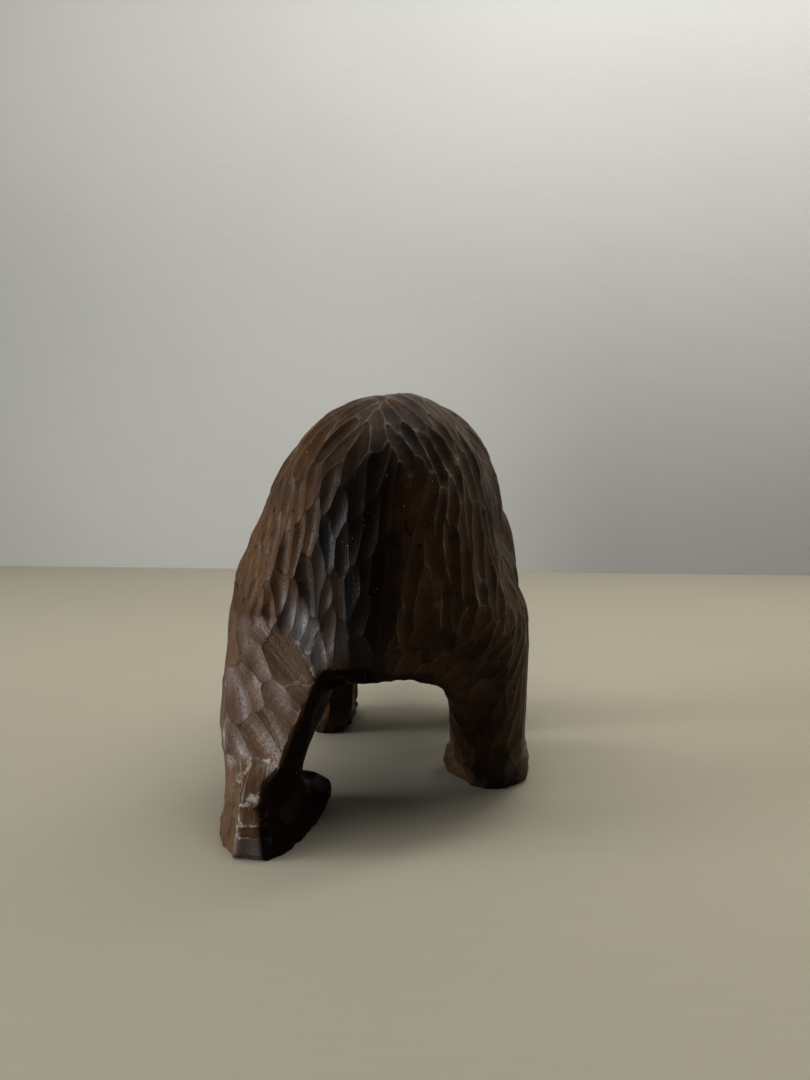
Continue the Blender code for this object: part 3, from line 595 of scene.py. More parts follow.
def cut_sizes(points, normals, gouge):
    """Width and length of a cut at each point."""
    size = np.ones((len(points), 2))
    changes = [
        (blend(np.abs(normals[:, 0]), 0.45, 0.80), 0.78, 1.12),
        (blend(normals[:, 2], 0.45, 0.75), 0.82, 1.05),
        (1.0 - blend(points[:, 1], -34, -6), 1.26, 1.25),
        (long_zone(points), 0.92, 1.85),
        (leg_zone(points), 1.35, 1.08),
        (box_weight(points, (-60, -130, 60), (60, -64, 120), 5), 0.85, 0.85),
        (1.0 - blend(points[:, 2], 7, 15), 0.92, 0.80),
        (box_weight(points, (22, 67, -5), (37, 90, 21), 2), 1.00, 0.42),
        (box_weight(points, (-18, -80, 20), (22, 60, 48), 5), 1.35, 1.25),
        (box_weight(points, (-25, -80, 88), (-8, -60, 120), 2), 0.60, 0.55),
        (box_weight(points, (8, -80, 88), (25, -60, 120), 2), 0.60, 0.55),
    ]
    for weight, wide, long in changes:
        size = size * (1.0 - weight[:, None]) + np.array((wide, long)) * weight[:, None]
    return size * (mm(gouge.cut_width), mm(gouge.cut_length))


def detail_cuts(block, gouge):
    """Single cuts for eyes, nostrils, mouth, ears and toes: (place, way, width, length, depth)."""
    details = []
    forward = (0.0, -1.0, -0.2)
    nose = mm(block.nose_y)
    for side in (-1, 1):
        details.append(((side * 11.0, -91.5, 82.0), forward, 2.6, 3.2, 1.3))
        details.append(((side * 3.2, nose, 72.0), (0.0, -1.0, -1.0), 1.8, 2.0, 1.0))
        details.append(((side * 9.5, nose + 11.0, 65.0), (0.0, -1.0, 0.1), 1.7, 11.0, 1.2))
        details.append(((side * 17.0, -74.5, 99.0), (0.0, 0.0, -1.0), 4.2, 6.0, 1.4))
    details.append(((26.2, 61.5, 49.4), (-0.62, 0.28, -0.60), 8.6, 21.0, 0.75))
    details.append(((26.7, 66.7, 38.4), (-0.77, 0.49, -0.41), 5.6, 18.0, 0.75))
    details.append(((28.2, 68.5, 32.2), (-0.59, 0.49, -0.64), 4.8, 15.0, 0.75))
    details.append(((32.5, 67.7, 28.8), (-0.70, 0.54, -0.45), 6.6, 17.0, 0.80))
    details.append(((30.2, 74.6, 22.0), (0.05, 0.30, -0.95), 9.0, 10.0, 0.80))
    heel = [(31.6, 75.5, 16.4, 5.6, 5.4), (33.0, 77.0, 11.4, 8.0, 5.0), (32.5, 77.3, 8.0, 8.0, 4.0)]
    heel += [(32.2, 77.6, 4.2, 7.4, 6.0), (32.4, 76.8, 0.9, 10.0, 2.6)]
    for x, y, z, wide, tall in heel:
        details.append(((x, y, z), (0.0, 0.0, -1.0), wide, tall, 0.35))
    fronts = [
        (mm(block.left_leg_x) - 0.8, mm(block.left_heel_y) - 39.5),
        (mm(block.right_leg_x), mm(block.right_heel_y) - 43.0),
        (34.0, mm(block.left_paw_y) - 6.5),
        (-30.5, mm(block.right_paw_y) - 6.5),
    ]
    for x, y in fronts:
        for step in (-1, 0, 1):
            details.append(((x + step * mm(gouge.toe_width), y, 6.5), (0.0, -0.6, -0.8), 1.7, 9.0, 1.6))
    return details


def near_table(points):
    """A search tree over the points."""
    tree = KDTree(len(points))
    for number, point in enumerate(points):
        tree.insert(point, number)
    tree.balance()
    return tree


def near(tree, centre, reach):
    """Numbers of the points within reach of a centre."""
    return np.array([hit[1] for hit in tree.find_range(centre, reach)], dtype=np.int64)


class Cuts:
    """All cuts of the gouge: where each has its deepest point, which way it runs and how big it is."""

    def __init__(self, places, normals, ways, sizes, gouge):
        self.places = places
        self.normals = normals
        self.ways = ways
        self.sides = np.cross(ways, normals)
        self.widths, self.lengths, self.depths = np.array(sizes).T
        self.ridge_relief = mm(gouge.ridge_relief)
        self.end_relief = mm(gouge.end_relief)

    def across(self, numbers, points):
        """How far each point is to the side of its cut's middle line."""
        return ((points - self.places[numbers]) * self.sides[numbers]).sum(axis=1)

    def along(self, numbers, points):
        """How far each point is down its cut."""
        return ((points - self.places[numbers]) * self.ways[numbers]).sum(axis=1)

    def heights(self, numbers, points):
        """Height of each point's scoop above the uncarved skin, for one cut number a point.

        Across and along are 0.5 at the cut's edge and end, where it has risen by its whole relief.
        """
        across = self.across(numbers, points) / self.widths[numbers]
        along = self.along(numbers, points) / self.lengths[numbers]
        above = ((points - self.places[numbers]) * self.normals[numbers]).sum(axis=1) / self.widths[numbers]
        along = np.where(along < 0.0, along * STEEP_START, along * GENTLE_END)
        rise = self.ridge_relief * 4.0 * across ** 2 + self.end_relief * 4.0 * along ** 2
        return rise + CURVED_AWAY * above ** 2 - self.depths[numbers]


def cover(free, tree, points, normals, number, way, width, length, spacing):
    """Marks the points round a cut as taken."""
    side = np.cross(way, normals[number])
    around = near(tree, points[number], max(length, width))
    offset = points[around] - points[number]
    across = offset @ side / width
    along = offset @ way / length
    above = offset @ normals[number] / width
    taken = across ** 2 + along ** 2 + above ** 2 * 0.5 < spacing ** 2
    taken &= normals[around] @ normals[number] > 0.0
    free[around[taken]] = False


def chosen_cuts(points, normals, tree, block, gouge):
    """The details, and then cuts scattered so that they lie side by side, as a carver places them."""
    chance = np.random.RandomState(gouge.seed)
    ways = cut_directions(points, normals, gouge)
    common = cut_sizes(points, normals, gouge)
    spacing = round(gouge.spacing, 4)
    spread = round(gouge.spread, 4)
    relief = mm(gouge.ridge_relief)
    full_width = mm(gouge.cut_width)
    free = (normals[:, 2] > -0.8) | (points[:, 2] > SOLE_HEIGHT)
    picked = []
    turned = []
    sizes = []
    for place, way, width, length, depth in detail_cuts(block, gouge):
        number = tree.find(place)[1]
        way = np.array(way)
        way = unit(way - normals[number] * (way @ normals[number]))
        cover(free, tree, points, normals, number, way, width * 1.3, length * 0.8, spacing)
        picked.append(number)
        turned.append(way)
        sizes.append((width, length, depth))
    for number in chance.permutation(len(points)):
        if not free[number]:
            continue
        angle = math.radians(chance.normal(0.0, round(math.degrees(gouge.turn), 4)))
        side = np.cross(ways[number], normals[number])
        way = ways[number] * math.cos(angle) + side * math.sin(angle)
        width, length = common[number]
        cover(free, tree, points, normals, number, way, width, length, spacing)
        wide, long, deep = chance.uniform(-spread, spread, 3)
        picked.append(number)
        turned.append(way)
        depth = relief * min(width / full_width, 1.15) * (0.9 + 1.6 * deep)
        sizes.append((width * (1.0 + 0.6 * wide), length * (1.0 + long), depth))
    return Cuts(points[picked], normals[picked], np.array(turned), sizes, gouge)


def deepest_cut(points, normals, cuts, tree):
    """For each point, the number of the cut that goes deepest there, and how far the next one clears it."""
    best = np.full(len(points), UNCARVED)
    second = np.full(len(points), UNCARVED)
    owner = np.full(len(points), -1)
    for number in range(len(cuts.places)):
        reach = max(cuts.lengths[number], cuts.widths[number]) * CUT_REACH
        around = near(tree, cuts.places[number], reach)
        around = around[normals[around] @ cuts.normals[number] > SAME_SIDE]
        height = cuts.heights(np.full(len(around), number), points[around])
        second[around] = np.minimum(second[around], np.maximum(height, best[around]))
        wins = height < best[around]
        best[around[wins]] = height[wins]
        owner[around[wins]] = number
    return owner, np.clip(second - best, 0.0, WIDEST_GAP)


# Patches: which points belong to which cut

def neighbour_lists(count, edges):
    """For each point, the points that an edge joins it to."""
    lists = [[] for _ in range(count)]
    for a, b in edges.tolist():
        lists[a].append(b)
        lists[b].append(a)
    return lists


def islands(owner, neighbours):
    """Connected patches of points that have the same owner, largest first."""
    seen = np.zeros(len(owner), bool)
    patches = []
    for start in range(len(owner)):
        if seen[start] or owner[start] == -1:
            continue
        seen[start] = True
        patch = [start]
        for point in patch:
            for other in neighbours[point]:
                if not seen[other] and owner[other] == owner[start]:
                    seen[other] = True
                    patch.append(other)
        patches.append(patch)
    return sorted(patches, key=len, reverse=True)


def refill(owner, neighbours):
    """Gives each point without an owner the owner that most of its neighbours have."""
    open_points = [int(p) for p in np.flatnonzero(owner == -1)]
    while open_points:
        settled = []
        for point in open_points:
            around = [int(owner[other]) for other in neighbours[point] if owner[other] != -1]
            if around:
                settled.append((point, max(sorted(set(around)), key=around.count)))
        for point, name in settled:
            owner[point] = name
        done = {point for point, _ in settled}
        open_points = [p for p in open_points if p not in done]
    return owner


def meeting_triangles(owner, triangles):
    """Numbers of the triangles whose three points have three owners."""
    a, b, c = (owner[triangles[:, k]] for k in range(3))
    return np.flatnonzero((a != b) & (b != c) & (c != a))


def tidied(owner, triangles, neighbours):
    """Owners after scraps, islands and patches with fewer than three corners have gone."""
    for _ in range(TIDY_PASSES):
        kept = set()
        for patch in islands(owner, neighbours):
            name = int(owner[patch[0]])
            if name in kept or len(patch) < SMALLEST_PATCH:
                owner[patch] = -1
            kept.add(name)
        owner = refill(owner, neighbours)
        corners = owner[triangles[meeting_triangles(owner, triangles)]].ravel()
        names, counts = np.unique(corners, return_counts=True)
        few = set(np.unique(owner).tolist()) - set(names[counts > 2].tolist())
        if not few and len(islands(owner, neighbours)) == len(np.unique(owner)):
            break
        owner[np.isin(owner, list(few))] = -1
        owner = refill(owner, neighbours)
    return owner


def add_soles(owner, points, normals, neighbours, cut_count):
    """The flat undersides of the feet get an owner each, numbered after the cuts."""
    low = (points[:, 2] < SOLE_HEIGHT) & (normals[:, 2] < -0.75)
    marked = np.where(low, 0, -1)
    soles = [patch for patch in islands(marked, neighbours) if len(patch) > SMALLEST_SOLE]
    for number, patch in enumerate(soles):
        owner[patch] = cut_count + number
    return owner


# The carved skin: the fine grid split along the ridges and sunk into the cuts

class Skin:
    """The carved skin: its spots, faces and their owners, the ridges, and how near a ridge each spot is."""

    def __init__(self, spots, faces, owners, ridges, gaps):
        self.spots = spots
        self.faces = np.array(faces)
        self.owners = np.array(owners)
        self.ridges = np.array(sorted(ridges))
        self.gaps = gaps


def scoop_heights(names, spots, cuts):
    """Height of each spot's scoop, and 0 on the soles."""
    heights = np.zeros(len(spots))
    carved = names < len(cuts.places)
    heights[carved] = cuts.heights(names[carved], spots[carved])
    return heights


def ridge_spots(points, normals, owner, edges, cuts):
    """Where a ridge crosses an edge between two cuts: the edges, the spots, their normals and heights."""
    crossed = edges[owner[edges[:, 0]] != owner[edges[:, 1]]]
    start, end = crossed.T

    def lead(here, there):
        """How far the scoop that goes deepest at one end lies below the other one there."""
        lowest = scoop_heights(owner[here], points[here], cuts)
        other = scoop_heights(owner[there], points[here], cuts)
        return np.maximum(other - lowest, 0.0) + 1e-6

    at_start = lead(start, end)
    at_end = lead(end, start)
    step = np.clip(at_start / (at_start + at_end), END_MARGIN, 1.0 - END_MARGIN)[:, None]
    spots = points[start] * (1 - step) + points[end] * step
    leans = unit(normals[start] * (1 - step) + normals[end] * step)
    heights = (scoop_heights(owner[start], spots, cuts) + scoop_heights(owner[end], spots, cuts)) / 2
    return crossed, spots, leans, heights


def meeting_spots(points, normals, owner, triangles, cuts):
    """Where three ridges meet inside a triangle: the triangles, the spots, their normals and heights."""
    numbers = meeting_triangles(owner, triangles)
    rings = triangles[numbers]
    spots = points[rings].mean(axis=1)
    leans = unit(normals[rings].mean(axis=1))
    heights = np.mean([scoop_heights(owner[rings][:, k], spots, cuts) for k in range(3)], axis=0)
    return numbers, spots, leans, heights


def split_faces(owner, triangles, crossed, meetings, count):
    """Faces, their owners and the ridge edges, once every mixed triangle is split along its ridges."""
    on_edge = {tuple(edge): count + k for k, edge in enumerate(crossed.tolist())}
    in_face = {int(t): count + len(crossed) + k for k, t in enumerate(meetings)}
    kinds = owner[triangles]
    plain = (kinds[:, 0] == kinds[:, 1]) & (kinds[:, 1] == kinds[:, 2])
    faces = triangles[plain].tolist()
    owners = kinds[plain][:, 0].tolist()
    ridges = set()

    def between(p, q):
        return on_edge[min(p, q), max(p, q)]

    for number in np.flatnonzero(~plain).tolist():
        a, b, c = triangles[number].tolist()
        if number in in_face:
            middle = in_face[number]
            for corner, after, before in ((a, b, c), (b, c, a), (c, a, b)):
                first = between(corner, after)
                last = between(before, corner)
                faces += [[corner, first, middle], [corner, middle, last]]
                owners += [owner[corner]] * 2
                ridges.add((min(first, middle), max(first, middle)))
            continue
        while owner[b] != owner[c]:
            a, b, c = b, c, a
        first = between(a, b)
        last = between(c, a)
        faces += [[a, first, last], [first, b, c], [first, c, last]]
        owners += [owner[a], owner[b], owner[b]]
        ridges.add((min(first, last), max(first, last)))
    return faces, owners, ridges


def carved_skin(block, gouge):
    """Blocks the bear out, takes all the cuts and splits the skin along the ridges between them."""
    points, triangles = blocked_out(block)
    edges = skin_edges(triangles)
    normals = skin_normals(points, triangles, edges)
    neighbours = neighbour_lists(len(points), edges)
    tree = near_table(points)
    cuts = chosen_cuts(points, normals, tree, block, gouge)
    owner, gap = deepest_cut(points, normals, cuts, tree)
    owner = refill(owner, neighbours)
    owner = add_soles(owner, points, normals, neighbours, len(cuts.places))
    owner = tidied(owner, triangles, neighbours)
    crossed, on_edges, edge_leans, edge_heights = ridge_spots(points, normals, owner, edges, cuts)
    meetings, in_faces, face_leans, face_heights = meeting_spots(points, normals, owner, triangles, cuts)
    faces, owners, ridges = split_faces(owner, triangles, crossed, meetings, len(points))
    spots = np.concatenate([points, on_edges, in_faces])
    leans = np.concatenate([normals, edge_leans, face_leans])
    heights = np.concatenate([scoop_heights(owner, points, cuts), edge_heights, face_heights])
    gaps = np.concatenate([gap, np.zeros(len(on_edges) + len(in_faces))])
    relief = RELIEF * (1.0 - worn_smooth(spots))
    spots = spots + leans * (relief * np.clip(heights, DEEPEST, HIGHEST))[:, None]
    return Skin(spots, faces, owners, ridges, gaps), cuts


def settled(skin, cuts):
    """Spots after hollows and ridge lines are evened out. The ridges stay crisp and the soles flat."""
    spots = skin.spots.copy()
    count = len(spots)
    soles = np.unique(skin.faces[skin.owners >= len(cuts.places)])
    spots[soles, 2] = 0.0
    edges = skin_edges(skin.faces)
    on_ridge = np.zeros(count, bool)
    on_ridge[skin.ridges.ravel()] = True
    line_steps = np.bincount(skin.ridges.ravel(), minlength=count)
    in_line = line_steps == 2
    hollow_steps = np.bincount(edges.ravel(), minlength=count)
    for _ in range(SETTLING_PASSES):
        around = np.zeros((count, 3))
        np.add.at(around, edges[:, 0], spots[edges[:, 1]])
        np.add.at(around, edges[:, 1], spots[edges[:, 0]])
        line = np.zeros((count, 3))
        np.add.at(line, skin.ridges[:, 0], spots[skin.ridges[:, 1]])
        np.add.at(line, skin.ridges[:, 1], spots[skin.ridges[:, 0]])
        moved = np.where(on_ridge[:, None], spots, around / hollow_steps[:, None])
        moved[in_line] = line[in_line] / 2
        spots = spots * 0.5 + moved * 0.5
        spots[soles, 2] = 0.0
    return spots


def centred(spots):
    """Spots moved so that their outline's middle is over that of the frame's solid."""
    middle = (spots.min(axis=0) + spots.max(axis=0)) / 2
    wanted = np.array((CAD_LOW + CAD_HIGH) / 2) / MM
    return spots + [wanted[0] - middle[0], wanted[1] - middle[1], 0.0]


# Wear and painted light and shade, as weights on the spots

def handled(spots, normals):
    """Where the finish is rubbed: the back of the trailing leg most, less its outside, the ears and nose."""
    heel = box_weight(spots, (29, 66, -5), (60, 90, 20), 2)
    ears = box_weight(spots, (-30, -80, 98), (30, -50, 120), 4)
    nose = 1.0 - blend(spots[:, 1], -107, -100)
    leg = (leg_zone(spots) + 0.7 * heel) * (1.0 - 0.6 * blend(normals[:, 0], 0.70, 0.95))
    return np.clip(leg + 0.4 * ears + 0.5 * nose, 0.0, 1.0)


def chalked(spots):
    """Where the ridges are bare, pale wood: on the left heel and at the thigh's lower edge."""
    heel = box_weight(spots, (27.0, 70, 2), (37.0, 90, 26), 1.0)
    edge = box_weight(spots, (15, 55, 43), (24, 80, 57), 2)
    return np.clip(heel + 0.6 * edge, 0.0, 1.0)


def inner_side(spots):
    """1 on the inner side of the trailing leg and foot and on the arch's lip, where dark red painted shade
    goes.
    """
    x, _, z = spots.T
    edge = np.interp(z, [0.0, 19.0, 23.5, 44.9, 46.5], [29.6, 30.3, 25.4, 17.2, 16.0])
    inside = 1.0 - blend(x - edge, -0.5, 0.5)
    return inside * box_weight(spots, (3, 22, -5), (60, 90, 46.4), 0.5)


def worn_smooth(spots):
    """Where the cuts are shallow: the trailing leg's inner side and the right leg."""
    right_leg = box_weight(spots, (-60, 0, -5), (-8, 70, 54), 5)
    return 0.75 * inner_side(spots) + 0.45 * right_leg


def greyed(cuts):
    """How grey each cut's finish is: the heel's cut under the fork of the ridges, less its lowest two."""
    upper = box_weight(cuts.places, (28, 70, 14.4), (36, 90, 18.6), 0.1)
    lower = box_weight(cuts.places, (28, 70, -2.0), (36, 90, 6.6), 0.1)
    return upper + 0.55 * lower


def painted_black_shade(spots):
    """Painted shade, nearly black: down the middle of the rump and below the belly."""
    x, y, z = spots.T
    middle = 4.0 - (z - 60.0) * 0.05
    band = (1.0 - blend(np.abs(x - middle), 3.0, 9.0)) * blend(y, 20, 40)
    band = band * (1.0 - blend(z, 100, 114))
    under = (1.0 - blend(z, 43, 45)) * (1.0 - blend(np.abs(x - 3.0), 15, 17)) * (1.0 - blend(y, 58, 60))
    return np.clip(band + under, 0.0, 1.0)


def painted_bluish_shade(spots):
    """Painted shade with a bluish painted reflection: the flutes between the left flank and the middle of the
    rump.
    """
    x, y, z = spots.T
    across = blend(x, 4, 9) * (1.0 - blend(x, 17.0 - 0.06 * (z - 60.0), 24.0 - 0.06 * (z - 60.0)))
    return across * blend(y, 35, 45) * blend(z, 46, 52) * (1.0 - blend(z, 98, 110)) * (1.0 - leg_zone(spots))


def gloss_and_painted_sheen(spots):
    """Where the finish is thick and glossy, with a lilac painted sheen: the lower ends of the flutes just
    above the trailing leg.
    """
    x, y, _ = spots.T
    across = blend(x, 8.0, 13.0) * (1.0 - blend(x, 26.0, 31.0))
    return across * (1.0 - blend(above_leg(spots), 5.0, 16.0)) * (1.0 - leg_zone(spots)) * blend(y, 40, 48)


def painted_window_light(spots, normals):
    """Painted light, a lighter and warmer brown on the side that faces the window: the left flank, most near
    the leg.
    """
    side = blend(normals[:, 0], 0.20, 0.65) * blend(spots[:, 1], -20, 20) * blend(spots[:, 0], 13, 23)
    return side * (1.0 - 0.7 * blend(spots[:, 2], 72, 116)) * (1.0 - inner_side(spots))


def worn_and_lit_ridges(spots, normals):
    """Where the ridges are pale, partly worn and partly a painted highlight: the back and the right flank,
    less the left flank and all in front.
    """
    top = blend(normals[:, 2], 0.25, 0.60)
    right = blend(-normals[:, 0], 0.40, 0.75) * (0.3 + 0.7 * blend(spots[:, 2], 42, 64))
    left = blend(normals[:, 0], 0.45, 0.80)
    behind = 0.45 + 0.55 * blend(spots[:, 1], 0, 25)
    return np.clip((0.03 + 0.70 * top + 0.85 * right + 0.20 * left) * behind, 0.0, 1.0)


def add_weights(mesh, name, domain, values):
    """A named layer of numbers on the mesh."""
    layer = mesh.attributes.new(name, "FLOAT", domain)
    layer.data.foreach_set("value", np.ascontiguousarray(values, dtype=np.float32))


def add_strokes(mesh, skin, cuts):
    """Where each corner of a face is in its cut, which cut that is, and how near an end of it."""
    names = np.repeat(skin.owners, 3)
    inside = np.minimum(names, len(cuts.places) - 1)
    local = skin.spots[skin.faces.ravel()]
    across = cuts.across(inside, local)
    along = cuts.along(inside, local)
    strokes = np.stack([across, along, names * STROKE_STEP], axis=1)
    layer = mesh.attributes.new("stroke", "FLOAT_VECTOR", "CORNER")
    layer.data.foreach_set("vector", np.ascontiguousarray(strokes, dtype=np.float32).ravel())
    ends = blend(np.abs(along) / cuts.lengths[inside] - np.abs(across) / cuts.widths[inside], -0.05, 0.15)
    add_weights(mesh, "cut_end", "CORNER", ends)


def mark_ridges(mesh, ridges):
    """Makes the ridges sharp and the hollows smooth."""
    mesh.polygons.foreach_set("use_smooth", np.ones(len(mesh.polygons), bool))
    ends = np.empty(len(mesh.edges) * 2, np.int32)
    mesh.edges.foreach_get("vertices", ends)
    ends = np.sort(ends.reshape(-1, 2), axis=1).astype(np.int64)
    count = len(mesh.vertices)
    sharp = np.isin(ends[:, 0] * count + ends[:, 1], ridges[:, 0] * count + ridges[:, 1])
    layer = mesh.attributes.new("sharp_edge", "BOOLEAN", "EDGE")
    layer.data.foreach_set("value", sharp)


def bear_object(skin, cuts):
    """The carved bear as a mesh object with its layers of wear and of painted light and shade."""
    spots = centred(settled(skin, cuts))
    mesh = bpy.data.meshes.new("carved_bear")
    mesh.from_pydata((spots * MM).tolist(), [], skin.faces.tolist())
    mark_ridges(mesh, skin.ridges)
    tones = np.random.RandomState(TONE_SEED).uniform(0.0, 1.0, skin.owners.max() + 1)
    facing = skin_normals(skin.spots, skin.faces, skin_edges(skin.faces))
    # Layers of wear, and of painted shade, light, sheen and highlight.
    layers = {
        "ridge_gap": skin.gaps,
        "worn_and_lit_ridge": worn_and_lit_ridges(skin.spots, facing),
        "handled": handled(skin.spots, facing),
        "chalked": chalked(skin.spots),
        "painted_black_shade": painted_black_shade(skin.spots),
        "painted_bluish_shade": painted_bluish_shade(skin.spots),
        "red_painted_shade": inner_side(skin.spots),
        "gloss_and_painted_sheen": gloss_and_painted_sheen(skin.spots),
        "painted_window_light": painted_window_light(skin.spots, facing),
    }
    for name, values in layers.items():
        add_weights(mesh, name, "POINT", values)
    add_weights(mesh, "cut_tone", "FACE", tones[skin.owners])
    greys = np.append(greyed(cuts), 0.0)
    add_weights(mesh, "greyed", "FACE", greys[np.minimum(skin.owners, len(cuts.places))])
    add_strokes(mesh, skin, cuts)
    made = bpy.data.objects.new("carved_bear", mesh)
    bpy.context.scene.collection.objects.link(made)
    return made


# Materials

def add_node(tree, kind, inputs=None, **settings):
    """Adds a node, sets its settings, and sets or links its inputs."""
    made = tree.nodes.new("ShaderNode" + kind)
    for name, value in settings.items():
        setattr(made, name, value)
    for name, value in (inputs or {}).items():
        if isinstance(value, bpy.types.NodeSocket):
            tree.links.new(value, made.inputs[name])
        else:
            made.inputs[name].default_value = value
    return made


def paint(value):
    """A colour property as four numbers."""
    return (*value, 1.0)


class Nodes:
    """The nodes of a new material, with a short way to add each kind."""

    def __init__(self, name):
        self.material = bpy.data.materials.new(name)
        self.material.use_nodes = True
        self.tree = self.material.node_tree
        self.shader = self.tree.nodes["Principled BSDF"]
        self.place = self.add("TexCoord").outputs["Object"]

    def add(self, kind, inputs=None, **settings):
        """Any node."""
        return add_node(self.tree, kind, inputs, **settings)

    def link(self, value, name):
        """Links a value to one of the shader's sockets."""
        self.tree.links.new(value, self.shader.inputs[name])

    def maths(self, operation, values):
        """The values taken together, two at a time from the left."""
        total = values[0]
        for value in values[1:]:
            total = self.add("Math", {0: total, 1: value}, operation=operation).outputs[0]
        return total

    def plus(self, *values):
        """The sum of the values."""
        return self.maths("ADD", values)

    def minus(self, *values):
        """The first value less the others."""
        return self.maths("SUBTRACT", values)

    def times(self, *values):
        """The product of the values."""
        return self.maths("MULTIPLY", values)

    def ramp(self, value, low, high, start=0.0, end=1.0):
        """Maps low..high to start..end with a smooth step."""
        inputs = {"Value": value, "From Min": low, "From Max": high, "To Min": start, "To Max": end}
        return self.add("MapRange", inputs, interpolation_type="SMOOTHSTEP").outputs["Result"]

    def noise(self, vector, scale, detail=3.0, roughness=0.55):
        """A soft random pattern from about 0.3 to 0.7."""
        inputs = {"Vector": vector, "Scale": scale, "Detail": detail, "Roughness": roughness}
        return self.add("TexNoise", inputs).outputs["Fac"]

    def streaky(self, vector, stretch, detail, roughness):
        """The same pattern, squeezed by its own amount along each axis."""
        squeezed = self.add("Mapping", {"Vector": vector, "Scale": stretch}).outputs["Vector"]
        return self.noise(squeezed, 1.0, detail, roughness)

    def layer(self, name, output="Fac"):
        """A named layer of the mesh."""
        return self.add("Attribute", attribute_name=name, attribute_type="GEOMETRY").outputs[output]

    def mixed(self, factor, first, second, blend_type="MIX"):
        """Two colours mixed."""
        made = self.add("Mix", data_type="RGBA", blend_type=blend_type, clamp_factor=True)
        for number, value in ((0, factor), (6, first), (7, second)):
            if isinstance(value, bpy.types.NodeSocket):
                self.tree.links.new(value, made.inputs[number])
            else:
                made.inputs[number].default_value = value
        return made.outputs[2]

    def bump(self, height, distance, strength):
        """Low relief."""
        relief = self.add("Bump", {"Height": height, "Distance": distance, "Strength": strength})
        self.link(relief.outputs["Normal"], "Normal")


